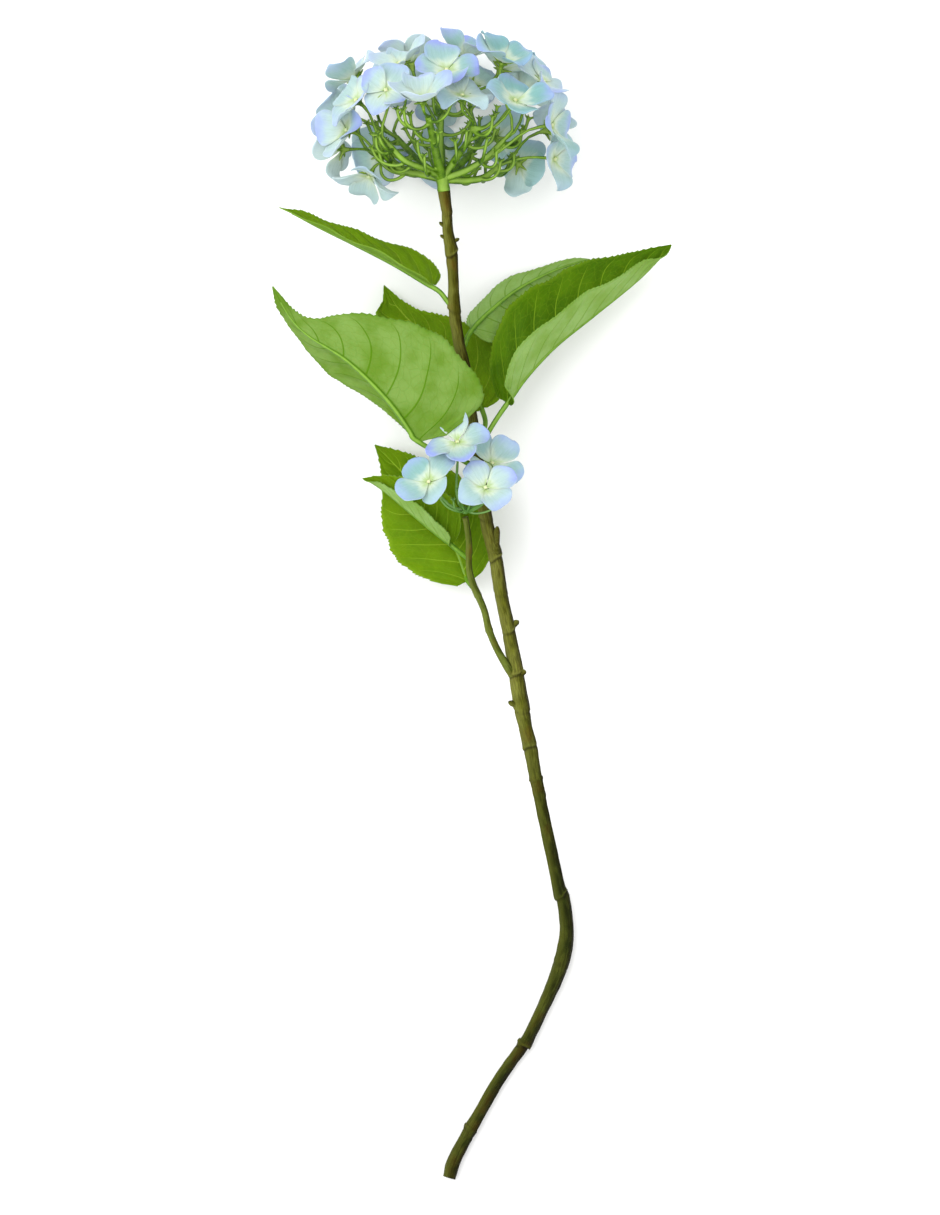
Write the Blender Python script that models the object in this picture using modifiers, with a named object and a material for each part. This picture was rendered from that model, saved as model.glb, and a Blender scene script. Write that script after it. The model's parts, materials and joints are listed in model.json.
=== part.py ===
"""A cut hydrangea lying on its side: a bent woody stem, a domed head of four-petalled florets on
forked green stalks, a side shoot with a small cluster, and seven leaves with their petioles.

Metres, +Z up. +Y runs from the cut end to the flower head, and the flower rests on the plane Z = 0.
All hand-chosen sizes and places below are in millimetres; MM turns them into metres.
"""

import math

import bmesh
import bpy
from mathutils import Matrix, Vector
from mathutils.bvhtree import BVHTree

MM = 0.001

# Driving dimensions
GAP = 0.3  # between pieces that meet
HUB_RADIUS = 5.2  # the green knob on top of the stem that all head stalks leave
RAY_ROOT = 1.6  # radius of a head stalk where it leaves the knob
RAY_FORK = 1.3  # and where it forks
PEDICEL = 0.95  # radius of the thin stalk under one floret
PEDICEL_END = 1.25  # it widens a little to meet the calyx
FLORET_RADIUS = 20.5  # from the middle of a floret to a petal tip
PETAL_THICKNESS = 0.7
CALYX_LENGTH = 5.0
CALYX_TIP = 1.3
CALYX_TOP = 3.2
CALYX_OVERLAP = 1.6  # how far the calyx reaches into the middle of the floret
CALYX_SIDES = 8
LEAF_THICKNESS = 0.7
PETIOLE = 1.5  # radius
MIDRIB = 1.1  # radius of the petiole's last part, inside the blade
MIDRIB_SHARE = 0.45  # how far that part reaches towards the next point of the spine
CUT_EXTRA = 0.1  # added to the gap round the stem, whose tube has flat facets
CLEAR_HALF = 0.13  # each piece is swollen by this much when two are tested for touching

# Main stem: x, y, z, radius, from the slanted cut end up to the base of the head
STEM = [
    (-13.5, -372.0, 4.6, 4.2),
    (-10.0, -360.0, 4.6, 4.4),
    (-1.5, -344.0, 4.8, 4.1),
    (0.5, -340.0, 4.9, 4.7),
    (3.0, -336.0, 4.9, 4.0),
    (19.5, -307.0, 5.2, 3.9),
    (33.0, -287.5, 5.6, 3.9),
    (35.0, -284.5, 5.8, 4.9),
    (37.5, -281.0, 5.9, 4.0),
    (48.5, -258.5, 6.6, 4.1),
    (59.0, -233.5, 7.4, 5.1),
    (63.0, -211.5, 8.4, 4.6),
    (61.0, -190.5, 10.0, 4.3),
    (59.5, -187.0, 10.3, 5.1),
    (58.0, -183.0, 10.7, 4.1),
    (54.0, -163.0, 12.6, 4.0),
    (48.0, -135.0, 16.2, 3.9),
    (44.0, -115.0, 19.0, 4.0),
    (43.3, -111.5, 19.5, 4.8),
    (42.5, -108.0, 20.0, 4.1),
    (39.5, -90.5, 22.6, 4.6),
    (36.5, -78.0, 24.6, 4.3),
    (34.0, -66.0, 26.6, 5.0),
    (30.0, -42.0, 30.6, 4.9),
    (25.5, -17.0, 35.0, 4.3),
    (20.0, 10.0, 39.4, 4.2),
    (16.5, 33.0, 43.0, 4.4),
    (10.5, 57.0, 47.2, 4.2),
    (3.0, 109.0, 55.2, 3.9),
    (-4.0, 156.0, 61.8, 3.7),
    (-7.5, 174.0, 64.2, 3.6),
    (-10.0, 193.5, 66.6, 3.9),
    (-10.8, 214.0, 69.2, 3.4),
    (-12.0, 230.0, 71.2, 4.0),
    (-14.2, 243.5, 72.6, 3.5),
    (-15.2, 257.0, 74.0, 3.4),
    (-17.0, 270.0, 75.2, 4.1),
    (-17.8, 276.0, 75.8, 4.0),
]
STEM_STEP = 11.0  # between rings of the finished tube
SHOOT_STEP = 7.0  # the same on the side shoot and the petioles
STALK_STEP = 6.0  # and on the head stalks
GROWTH_PROFILE = ((0, 1.0), (0.45, 1.05), (0.8, 0.8), (1.0, 0.45))  # share of length, of radius
HUB = Vector((-18.0, 278.0, 76.0))

# Short growths on the stem: where they sit, where they point, length and radius
STUBS = {
    "broken_stub": ((16.6, 38.0, 45.5), (0.08, 0.98, 0.18), 15.0, 2.3),
    "low_bud": ((31.5, -64.0, 27.0), (-0.85, 0.35, 0.35), 7.5, 2.0),
    "shoulder_bud": ((27.5, -12.0, 36.0), (0.75, 0.60, 0.20), 8.0, 2.0),
    "shoulder_scar": ((31.0, -43.0, 31.0), (0.90, 0.20, 0.35), 7.0, 2.2),
    "upper_bud_left": ((-14.8, 246.0, 73.0), (-0.80, 0.60, 0.15), 6.5, 1.3),
    "upper_bud_left_low": ((-14.2, 238.5, 72.5), (-0.85, 0.50, 0.10), 6.0, 1.2),
    "upper_bud_right": ((-12.5, 236.0, 72.2), (0.85, 0.50, 0.10), 6.5, 1.3),
}

# Side shoot: x, y, z, radius
SHOOT = [
    (28.0, -43.0, 31.5, 2.6),
    (24.0, -38.0, 35.2, 2.5),
    (17.6, -27.0, 38.6, 2.3),
    (12.4, -14.6, 42.0, 2.3),
    (9.0, -1.0, 45.0, 2.2),
    (2.0, 15.3, 49.6, 2.3),
    (-0.6, 26.3, 52.4, 2.0),
    (-0.6, 41.3, 56.6, 2.0),
    (-2.0, 53.0, 60.6, 1.9),
    (-3.0, 58.5, 63.0, 2.0),
]
CLUSTER_HUB = Vector((-3.2, 63.0, 65.0))
CLUSTER_HUB_RADIUS = 2.6

# Head stalks: points that each stalk follows, measured from HUB. Each of its florets then has its
# seat, the way that it faces, and the stalk point that its own thin stalk leaves.
HEAD_STALKS = {
    "stalk_left": (
        [(-14, 3, 1), (-26, 5.5, 4), (-37, 14, 6)],
        {
            "floret_left": ((-61, 31, 12), (-0.80, 0.30, 0.50), 2),
            "floret_left_low": ((-65, 19, -14), (-0.90, -0.05, -0.40), 2),
            "floret_left_hanging": ((-47, 2, 8), (-0.45, -0.80, 0.25), 1),
        },
    ),
    "stalk_front_left": (
        [(-11, 6, 11), (-24, 11, 19), (-35, 22, 21)],
        {
            "floret_left_upper": ((-55, 50, 20), (-0.65, 0.55, 0.50), 2),
            "floret_left_front": ((-36, 56, 42), (-0.25, 0.50, 0.85), 2),
        },
    ),
    "stalk_front": (
        [(-3, 11, 13), (-6, 26, 28), (-9, 39, 42)],
        {
            "floret_front": ((-13, 49, 59), (-0.15, 0.85, 0.52), 2),
        },
    ),
    "stalk_front_right": (
        [(9, 13, 9), (16, 23, 19), (20, 34, 28)],
        {
            "floret_front_right": ((13, 52, 49), (0.10, 0.85, 0.50), 2),
            "floret_right_front": ((47, 49, 42), (0.40, 0.70, 0.60), 1),
            "floret_top_front": ((3, 69, 32), (0.00, 0.75, 0.65), 2),
        },
    ),
    "stalk_right": (
        [(15, 5, 4), (28, 13, 9), (40, 25, 12)],
        {
            "floret_right_top": ((39, 75, 20), (0.25, 0.90, 0.40), 2),
            "floret_right_upper": ((65, 62, 4), (0.70, 0.62, 0.35), 2),
            "floret_right": ((70, 34, 17), (0.93, 0.10, 0.35), 1),
        },
    ),
    "stalk_right_low": (
        [(15, -1, -5), (27, 1, -9), (37, 9, -10)],
        {
            "floret_right_low": ((72, 13, -2), (0.80, -0.10, 0.58), 2),
            "floret_right_hanging": ((50, 10, -32), (0.55, -0.35, -0.75), 2),
            "floret_right_back": ((68, 32, -28), (0.90, 0.25, -0.40), 2),
        },
    ),
    "stalk_back_right": (
        [(12, 10, -14), (21, 20, -26), (28, 30, -37)],
        {
            "floret_back_right_low": ((35, 28, -60), (0.45, 0.10, -0.90), 2),
            "floret_back_right": ((52, 56, -44), (0.60, 0.60, -0.60), 2),
            "floret_back_right_top": ((18, 62, -59), (0.15, 0.60, -0.80), 1),
        },
    ),
    "stalk_back_left": (
        [(-12, 9, -14), (-21, 18, -26), (-30, 28, -34)],
        {
            "floret_back_left": ((-60, 42, -38), (-0.80, 0.30, -0.55), 2),
            "floret_back_left_low": ((-40, 17, -59), (-0.45, 0.00, -0.90), 1),
            "floret_back_left_top": ((-26, 58, -57), (-0.30, 0.55, -0.80), 2),
            "floret_left_top": ((-56, 66, -12), (-0.65, 0.75, -0.05), 2),
        },
    ),
    "stalk_top": (
        [(-1, 14, 0), (-1, 31, 0), (0, 46, 1)],
        {
            "floret_top_left": ((-27, 74, 10), (-0.30, 0.90, 0.35), 2),
            "floret_top_right": ((15, 79, -8), (0.15, 0.97, -0.05), 2),
            "floret_top_back": ((-20, 75, -30), (-0.20, 0.90, -0.40), 1),
            "floret_top_right_back": ((38, 72, -28), (0.45, 0.80, -0.40), 2),
        },
    ),
    "stalk_back": (
        [(0, 4, -14), (0, 14, -30), (0, 23, -42)],
        {
            "floret_back_low": ((-3, 17, -65), (-0.05, -0.10, -0.98), 1),
            "floret_back": ((-3, 49, -70), (0.00, 0.30, -0.95), 2),
        },
    ),
}

# Small cluster: seats measured from CLUSTER_HUB
CLUSTER_FLORETS = {
    "cluster_floret_left": ((-23, 18, 20), (-0.45, 0.48, 0.75)),
    "cluster_floret_right": ((13, 14, 27), (0.15, 0.60, 0.78)),
    "cluster_floret_top": ((-5, 44, 16), (-0.05, 0.68, 0.72)),
    "cluster_floret_right_top": ((17, 30, 4), (0.40, 0.70, 0.58)),
}

# Leaves. petiole: from its root inside the stem; spine: from the blade's base to its tip.
# face: the way the upper side of the blade looks, at the base and at the tip. Half widths, fold
# angles (degrees that each half rises towards the upper side) and curls are (right, left), seen
# from the base with the upper side up. skew: how near the base the blade is widest; less is nearer.
LEAVES = {
    "leaf_left_large": dict(
        petiole=[(1.5, 92, 53), (-8, 97, 64), (-22, 101, 73)],
        spine=[(-34, 107, 77), (-52, 133, 85), (-78, 159, 87), (-104, 176, 84), (-117, 189, 81), (-128, 208, 83)],
        face=[(0.25, 0.10, -1.0), (0.10, 0.30, -1.0)],
        width=(31, 55),
        skew=0.52,
        fold=(62, 2),
        curl=(-12, 14),
    ),
    "leaf_right_large": dict(
        petiole=[(3.5, 97, 54), (8, 106, 56), (15, 119, 57)],
        spine=[(24, 133, 56), (36, 150, 55), (55, 170, 51), (80, 190, 42), (111, 215, 34), (131, 236, 28)],
        face=[(-0.06, 0.05, 1.0), (-0.06, 0.05, 1.0)],
        width=(34, 40),
        skew=0.66,
        fold=(104, -2),
        curl=(12, -8),
    ),
    "leaf_right_behind": dict(
        petiole=[(-6, 166, 62), (-3.0, 172, 58), (-1.0, 177, 53)],
        spine=[(1, 181, 48), (13, 193, 38), (29, 206, 27), (47, 216, 19), (64, 223, 13), (78, 227, 10)],
        face=[(0.10, 0.35, -0.95), (0.10, 0.35, -0.95)],
        width=(19, 26),
        skew=0.75,
        fold=(68, 6),
        curl=(10, -8),
    ),
    "leaf_upper_left": dict(
        petiole=[(-10, 193, 66.5), (-15, 199, 67), (-20, 205, 67)],
        spine=[(-25, 210, 66), (-49, 224, 62), (-75, 237, 56), (-96, 247, 50), (-112, 255, 46), (-124, 260, 44)],
        face=[(0.35, 0.92, 0.15), (0.35, 0.90, 0.20)],
        width=(28, 27),
        skew=0.58,
        fold=(14, 5),
        curl=(8, 8),
    ),
    "leaf_behind": dict(
        petiole=[(4, 104, 54), (8, 112, 47), (10, 121, 41)],
        spine=[(8, 130, 36), (-3, 151, 27), (-24, 172, 18), (-42, 190, 11), (-50, 200, 9), (-56, 210, 9)],
        face=[(0.15, 0.20, 1.0), (0.10, 0.25, 1.0)],
        width=(27, 29),
        skew=0.66,
        fold=(4, 8),
        curl=(10, 28),
    ),
    "leaf_lower": dict(
        petiole=[(3, 12.5, 48.5), (2.5, 12.5, 42), (1.0, 14.0, 34)],
        spine=[(-2, 17, 28), (-9, 37, 24), (-20, 58, 20), (-37, 80, 16), (-50, 94, 14), (-62, 106, 14)],
        face=[(-0.05, 0.10, 1.0), (0.05, 0.05, 1.0)],
        width=(30, 37),
        skew=0.62,
        fold=(10, 4),
        curl=(10, -12),
    ),
    "leaf_lower_folded": dict(
        petiole=[(-0.6, 31, 54), (-4, 34, 49), (-8, 37, 45)],
        spine=[(-12, 41, 42), (-26, 52, 41), (-42, 65, 39), (-53, 74, 37), (-62, 80, 36), (-70, 84, 36)],
        face=[(-0.10, 0.20, 0.95), (-0.10, 0.20, 0.95)],
        width=(24, 13),
        skew=0.80,
        fold=(6, 106),
        curl=(8, 8),
    ),
}
# How a thin floret stalk leaves its fork and meets its calyx
FORK_SPREAD = 0.7  # outward lean at the fork
FORK_RADIUS = 1.2
PEDICEL_BEND = 0.45  # handle length of its curve, as a share of the whole
PEDICEL_STEPS = 5
PEDICEL_FOOT = 1.2  # length of the widened end
CLUSTER_PEDICEL = 1.05
CLUSTER_PEDICEL_END = 0.85

# A floret's shape: four lobes on a ring of spokes, reaches as shares of its radius
PETAL_SPOKES = 16
NOTCH_REACH = 0.60  # between two petals
LOBE_ROUNDNESS = 0.6
INNER_REACH = 0.42
INNER_LOBE = 0.06
CUP_CURVE = 1.3
NOTCH_DIP = 0.05
FLORET_CUPS = {"floret_half_open": 0.42, "floret_open": 0.22, "floret_cupped": 0.68}

# The small changes tried on a floret that would touch a neighbour, and the roll between neighbours
FLORET_SCALES = (1.0, 0.94, 0.88, 0.8, 0.72)
FLORET_TILTS = (0, 9, 17, 25)
FLORET_ROLLS = (0, 45, 22, 67)
HEAD_ROLL = 37
CLUSTER_ROLL = 40

# A leaf blade's shape
BLADE_FULLNESS = 0.80
LEAST_WIDTH = 0.05
FOLD_FADE = 0.14  # the fold fades out over this share of the length, at the base and at the tip
FOLD_CURVE = 0.6
LOBE_FADE = 4
SPINE_STEP = 4.0
BASE_LOBE = 0.45  # how far the sides reach back past the blade's base
BLADE_ROWS = 12
BLADE_COLUMNS = 6
TIP_START = 0.88  # where the drawn-out tip begins, as a share of the blade's length
TIP_WIDTH = 0.12  # its half width there, as a share of the widest
SHARP_EDGE = 40  # degrees between faces

COLOURS = {
    "bark": ((0.075, 0.070, 0.022), 0.62),
    "green_stalk": ((0.135, 0.260, 0.035), 0.50),
    "leaf": ((0.100, 0.210, 0.025), 0.50),
    "petal": ((0.560, 0.700, 0.860), 0.60),
}


def clear_scene():
    for found in list(bpy.data.objects):
        bpy.data.objects.remove(found)


def material(name):
    colour, roughness = COLOURS[name]
    made = bpy.data.materials.new(name)
    made.use_nodes = True
    shader = made.node_tree.nodes["Principled BSDF"]
    shader.inputs["Base Color"].default_value = (*colour, 1)
    shader.inputs["Roughness"].default_value = roughness
    shader.inputs["Metallic"].default_value = 0
    return made


def smooth_route(points, step):
    """A smooth curve through points of any length (x, y, z, and radius if given), in even steps."""
    ends = [2 * points[0] - points[1], *points, 2 * points[-1] - points[-2]]
    route = []
    for before, start, end, after in zip(ends, ends[1:], ends[2:], ends[3:]):
        length = (end.xyz - start.xyz).length
        pieces = max(1, round(length / step))
        for i in range(pieces):
            t = i / pieces
            bend = (end - before) * t
            bend += (2 * before - 5 * start + 4 * end - after) * t**2
            bend += (3 * start - before - 3 * end + after) * t**3
            route.append(start + bend / 2)
    route.append(points[-1])
    return route


def mesh_object(name, mesh, collection):
    made = bpy.data.objects.new(name, mesh)
    collection.objects.link(made)
    return made


def as_mesh(found, name, collection):
    """The object's evaluated shape as a plain mesh object, its loose caps welded."""
    graph = bpy.context.evaluated_depsgraph_get()
    mesh = bpy.data.meshes.new_from_object(found.evaluated_get(graph))
    bm = bmesh.new()
    bm.from_mesh(mesh)
    bmesh.ops.remove_doubles(bm, verts=bm.verts, dist=1e-6)
    bmesh.ops.recalc_face_normals(bm, faces=bm.faces)
    bm.to_mesh(mesh)
    bm.free()
    made = mesh_object(name, mesh, collection)
    made.matrix_world = found.matrix_world.copy()
    bpy.data.objects.remove(found)
    return made


def tube(name, points, collection, more=0.0):
    """A closed tube along points of x, y, z and radius; more is added to each radius."""
    curve = bpy.data.curves.new(name + "_route", "CURVE")
    curve.dimensions = "3D"
    curve.bevel_depth = MM
    curve.bevel_resolution = 2
    curve.use_fill_caps = True
    spline = curve.splines.new("POLY")
    spline.points.add(len(points) - 1)
    for place, point in zip(spline.points, points):
        place.co = (*(point.xyz * MM), 1)
        place.radius = point.w + more
    return as_mesh(mesh_object(name + "_route", curve, collection), name, collection)


def ball(name, centre, radius, collection):
    mesh = bpy.data.meshes.new(name)
    bm = bmesh.new()
    bmesh.ops.create_icosphere(bm, subdivisions=2, radius=radius * MM)
    bmesh.ops.translate(bm, verts=bm.verts, vec=centre * MM)
    bm.to_mesh(mesh)
    bm.free()
    return mesh_object(name, mesh, collection)


def combine(target, others, operation, collection, folded=False):
    """The target joined with the others, or cut by them, as one plain mesh object."""
    for other in others:
        step = target.modifiers.new("combine", "BOOLEAN")
        step.operation = operation
        step.use_self = folded
        step.object = other
    name = target.name
    made = as_mesh(target, name + "_done", collection)
    made.name = name
    return made


def joined(target, others, collection, folded=False):
    made = combine(target, others, "UNION", collection, folded)
    for other in others:
        bpy.data.objects.remove(other)
    return made


def cone_tube(name, start, direction, length, radius, collection):
    """A short tapering growth."""
    way = Vector(direction).normalized()
    points = []
    for part, width in GROWTH_PROFILE:
        place = Vector(start) + way * length * part
        points.append(Vector((*place, radius * width)))
    return tube(name, points, collection)


def make_stem(collection, helpers):
    """The woody stem with its stubs and the green knob, and fatter copies that cut its neighbours."""
    route = smooth_route([Vector(point) for point in STEM], STEM_STEP)
    stem = tube("main_stem", route, collection)
    growths = [
        cone_tube(name, start, way, length, radius, collection)
        for name, (start, way, length, radius) in STUBS.items()
    ]
    growths.append(ball("knob", HUB, HUB_RADIUS, collection))
    stem = joined(stem, growths, collection)
    fat_stem = tube("fat_stem", route, helpers, more=GAP + CUT_EXTRA)
    fat_knob = ball("fat_knob", HUB, HUB_RADIUS + GAP, helpers)
    return stem, [fat_stem, fat_knob]


def hermite(start, leave, end, arrive, reach, radii, steps):
    """Points of a curve that leaves and arrives along the given directions."""
    first = start + leave * reach
    last = end - arrive * reach
    points = []
    for i in range(steps + 1):
        t = i / steps
        place = start * (1 - t) ** 3 + first * 3 * t * (1 - t) ** 2
        place += last * 3 * t * t * (1 - t) + end * t**3
        radius = radii[0] + (radii[1] - radii[0]) * t
        points.append(Vector((*place, radius)))
    return points


def pedicel(name, fork, leave, seat, facing, radii, collection):
    """The thin stalk from a fork to the foot of a floret's calyx."""
    foot = seat - facing * (CALYX_LENGTH + GAP)
    reach = (foot - fork).length * PEDICEL_BEND
    points = hermite(fork, leave, foot, facing, reach, radii, PEDICEL_STEPS)
    points.append(Vector((*foot, PEDICEL_END)))
    points[-2].w = PEDICEL_END
    points[-2].xyz = foot - facing * PEDICEL_FOOT
    return tube(name, points, collection)


def make_stalk(name, centre, trunk, florets, collection):
    """One stalk from the knob with the thin stalks of its florets, as one body."""
    places = [centre + Vector(point) for point in trunk]
    way = (places[0] - centre).normalized()
    route = [centre + way * HUB_RADIUS * 0.6, *places]
    last = len(route) - 1
    route = [
        Vector((*place, RAY_ROOT + (RAY_FORK - RAY_ROOT) * i / last))
        for i, place in enumerate(route)
    ]
    trunk_tube = tube(name, smooth_route(route, STALK_STEP), collection)
    branches = []
    for floret, (seat, facing, fork) in florets.items():
        start = places[fork]
        back = places[fork - 1]
        along = (start - back).normalized()
        outward = Vector((seat[0], 0, seat[2])).normalized()
        leave = (along + outward * FORK_SPREAD).normalized()
        start = start - along
        branches.append(
            pedicel(
                floret + "_pedicel",
                start,
                leave,
                centre + Vector(seat),
                Vector(facing).normalized(),
                (FORK_RADIUS, PEDICEL),
                collection,
            )
        )
    return joined(trunk_tube, branches, collection)


def floret_mesh(name, radius, cup, collection):
    """Four petals round a calyx, as one body. cup: how far the petals rise towards their tips."""
    mesh = bpy.data.meshes.new(name + "_petals")
    bm = bmesh.new()
    bmesh.ops.create_circle(bm, cap_ends=True, cap_tris=True, segments=PETAL_SPOKES, radius=0.5)
    rim = [edge for edge in bm.edges if edge.is_boundary]
    made = bmesh.ops.extrude_edge_only(bm, edges=rim)["geom"]
    for vertex in made:
        if isinstance(vertex, bmesh.types.BMVert):
            vertex.co *= 2
    for vertex in bm.verts:
        out = vertex.co.length
        if out < 0.1:
            vertex.co = (0, 0, 0)
            continue
        angle = math.atan2(vertex.co.y, vertex.co.x)
        lobe = abs(math.cos(2 * angle))
        if out > 0.75:
            reach = NOTCH_REACH + (1 - NOTCH_REACH) * lobe**LOBE_ROUNDNESS
        else:
            reach = INNER_REACH + INNER_LOBE * lobe
        rise = cup * reach**CUP_CURVE - NOTCH_DIP * (1 - lobe)
        flat = reach * radius
        vertex.co = Vector((math.cos(angle) * flat, math.sin(angle) * flat, rise * radius)) * MM
    bmesh.ops.recalc_face_normals(bm, faces=bm.faces)
    if bm.faces[:][0].normal.z < 0:
        bmesh.ops.reverse_faces(bm, faces=bm.faces)
    bm.to_mesh(mesh)
    bm.free()
    petals = mesh_object(name + "_petals", mesh, collection)
    thick = petals.modifiers.new("thickness", "SOLIDIFY")
    thick.thickness = PETAL_THICKNESS * MM
    thick.offset = 0
    calyx_mesh = bpy.data.meshes.new(name + "_calyx")
    bm = bmesh.new()
    foot_to_top = CALYX_LENGTH + CALYX_OVERLAP
    bmesh.ops.create_cone(
        bm,
        cap_ends=True,
        segments=CALYX_SIDES,
        radius1=CALYX_TIP * MM,
        radius2=CALYX_TOP * MM,
        depth=foot_to_top * MM,
        matrix=Matrix.Translation((0, 0, (foot_to_top / 2 - CALYX_LENGTH) * MM)),
    )
    bm.to_mesh(calyx_mesh)
    bm.free()
    calyx = mesh_object(name + "_calyx", calyx_mesh, collection)
    body = joined(petals, [calyx], collection)
    shared = body.data
    bpy.data.objects.remove(body)
    shared.name = name
    return shared


def turned_to(facing, roll):
    """A rotation that takes +Z to facing, after a roll about it in degrees."""
    up = Vector(facing).normalized()
    return up.to_track_quat("Z", "Y").to_matrix().to_4x4() @ Matrix.Rotation(math.radians(roll), 4, "Z")


def tree_of(mesh, matrix, grow):
    """A search tree of the mesh where the matrix puts it, swollen by grow millimetres."""
    bm = bmesh.new()
    bm.from_mesh(mesh)
    bm.normal_update()
    for vertex in bm.verts:
        vertex.co += vertex.normal * grow * MM
    bmesh.ops.transform(bm, matrix=matrix, verts=bm.verts)
    tree = BVHTree.FromBMesh(bm)
    bm.free()
    return tree


def tries():
    """Small changes to a floret's roll, tilt and openness, the least change first."""
    for scale in FLORET_SCALES:
        for tilt in FLORET_TILTS:
            for side in (0, 90, 180, 270) if tilt else (0,):
                for variant in range(len(FLORET_CUPS)):
                    for roll in FLORET_ROLLS:
                        yield variant, scale, tilt, side, roll


def place_floret(name, seat, facing, first_roll, shapes, taken, collection):
    """Puts a floret on its seat, turned a little where it would touch what is there already."""
    foot = seat - facing * CALYX_LENGTH
    for variant, scale, tilt, side, roll in tries():
        aside = turned_to(facing, side) @ Vector((1, 0, 0))
        leaning = (facing + aside * math.tan(math.radians(tilt))).normalized()
        matrix = Matrix.Translation((foot + leaning * CALYX_LENGTH) * MM)
        matrix = matrix @ turned_to(leaning, first_roll + roll)
        sized = matrix @ Matrix.Diagonal((scale, scale, scale, 1))
        sized.translation = (foot + leaning * CALYX_LENGTH * scale) * MM
        tree = tree_of(shapes[variant], sized, CLEAR_HALF)
        if not any(tree.overlap(other) for other in taken):
            break
    taken.append(tree)
    made = mesh_object(name, shapes[variant], collection)
    made.matrix_world = sized
    return made


def leaf_width(along, skew):
    """Half width of a blade as a share of its widest: round near the base, then a drawn-out tip."""
    body = min(1.0, along / TIP_START)
    swell = math.sin(math.pi * body**skew) ** BLADE_FULLNESS
    tail = TIP_WIDTH * (1.0 - along) / (1.0 - TIP_START)
    return max(LEAST_WIDTH, swell, tail if along > 0.5 else 0.0)


def fold_share(along):
    """How much of its fold a blade has at one row: it flattens out at the base and the tip."""
    return max(0.0, min(1.0, along / FOLD_FADE, (1 - along) / FOLD_FADE)) ** FOLD_CURVE


def blade_frame(spine, face, i, count):
    """Place, side and upward directions at one row of the blade."""
    here = spine[i]
    ahead = spine[min(i + 1, count)] - spine[max(i - 1, 0)]
    along = ahead.normalized()
    share = i / count
    up = Vector(face[0]).normalized().lerp(Vector(face[1]).normalized(), share)
    up = (up - along * up.dot(along)).normalized()
    return here, along.cross(up), up


def even_points(route, count):
    """count + 1 points at even lengths along a route."""
    lengths = [0.0]
    for start, end in zip(route, route[1:]):
        lengths.append(lengths[-1] + (end - start).length)
    points = []
    for i in range(count + 1):
        want = lengths[-1] * i / count
        k = 0
        while k < len(route) - 2 and lengths[k + 1] < want:
            k += 1
        span = lengths[k + 1] - lengths[k]
        points.append(route[k].lerp(route[k + 1], (want - lengths[k]) / span))
    return points


def blade_mesh(name, leaf):
    """An open sheet: a grid drawn out along the spine, each half folded and curled."""
    route = smooth_route([Vector(point) for point in leaf["spine"]], SPINE_STEP)
    spine = even_points(route, BLADE_ROWS)
    bm = bmesh.new()
    bmesh.ops.create_grid(bm, x_segments=BLADE_COLUMNS, y_segments=BLADE_ROWS, size=1.0)
    for vertex in bm.verts:
        across = vertex.co.x
        row = round((vertex.co.y + 1) / 2 * BLADE_ROWS)
        here, side, up = blade_frame(spine, leaf["face"], row, BLADE_ROWS)
        half = 0 if across > 0 else 1
        reach = abs(across) * leaf["width"][half] * leaf_width(row / BLADE_ROWS, leaf["skew"])
        angle = math.radians(leaf["fold"][half] + leaf["curl"][half] * abs(across))
        angle *= fold_share(row / BLADE_ROWS)
        out = math.cos(angle) * reach * (1 if across > 0 else -1)
        back = side.cross(up) * reach * BASE_LOBE * (1 - row / BLADE_ROWS) ** LOBE_FADE
        vertex.co = (here + side * out + up * math.sin(angle) * reach + back) * MM
    bmesh.ops.recalc_face_normals(bm, faces=bm.faces)
    mesh = bpy.data.meshes.new(name)
    bm.to_mesh(mesh)
    bm.free()
    return mesh


def make_leaf(name, leaf, stem_cutters, collection):
    """Blade and petiole as one body, cut clear of the stem."""
    blade = mesh_object(name, blade_mesh(name, leaf), collection)
    thick = blade.modifiers.new("thickness", "SOLIDIFY")
    thick.thickness = LEAF_THICKNESS * MM
    thick.offset = 0
    blade = as_mesh(blade, name + "_sheet", collection)
    blade.name = name
    spine = [Vector(point) for point in leaf["spine"]]
    inside = spine[0].lerp(spine[1], MIDRIB_SHARE)
    outside = [Vector(point) for point in leaf["petiole"]]
    route = [Vector((*place, PETIOLE)) for place in outside]
    route += [Vector((*place, MIDRIB)) for place in (spine[0], inside)]
    petiole = tube(name + "_petiole", smooth_route(route, SHOOT_STEP), collection)
    made = joined(blade, [petiole], collection, folded=True)
    return combine(made, stem_cutters, "DIFFERENCE", collection)


def make_cluster(shoot_cutter, stem_cutters, shapes, taken, collection):
    """The small cluster on the side shoot: its forked stalks and four florets."""
    knob = ball("cluster_stalks", CLUSTER_HUB, CLUSTER_HUB_RADIUS, collection)
    branches = []
    for name, (seat, facing) in CLUSTER_FLORETS.items():
        out = Vector((seat[0], 2, seat[2] / 2)).normalized()
        branches.append(
            pedicel(
                name + "_pedicel",
                CLUSTER_HUB,
                out,
                CLUSTER_HUB + Vector(seat),
                Vector(facing).normalized(),
                (CLUSTER_PEDICEL, CLUSTER_PEDICEL_END),
                collection,
            )
        )
    stalks = joined(knob, branches, collection)
    stalks = combine(stalks, [shoot_cutter, *stem_cutters], "DIFFERENCE", collection)
    taken.append(tree_of(stalks.data, stalks.matrix_world, CLEAR_HALF))
    made = [stalks]
    for i, (name, (seat, facing)) in enumerate(CLUSTER_FLORETS.items()):
        place = CLUSTER_HUB + Vector(seat)
        made.append(
            place_floret(
                name, place, Vector(facing).normalized(), CLUSTER_ROLL * i, shapes, taken, collection
            )
        )
    return made


def add_material(pieces, made):
    for piece in pieces:
        piece.data.materials.clear()
        piece.data.materials.append(made)


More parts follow.
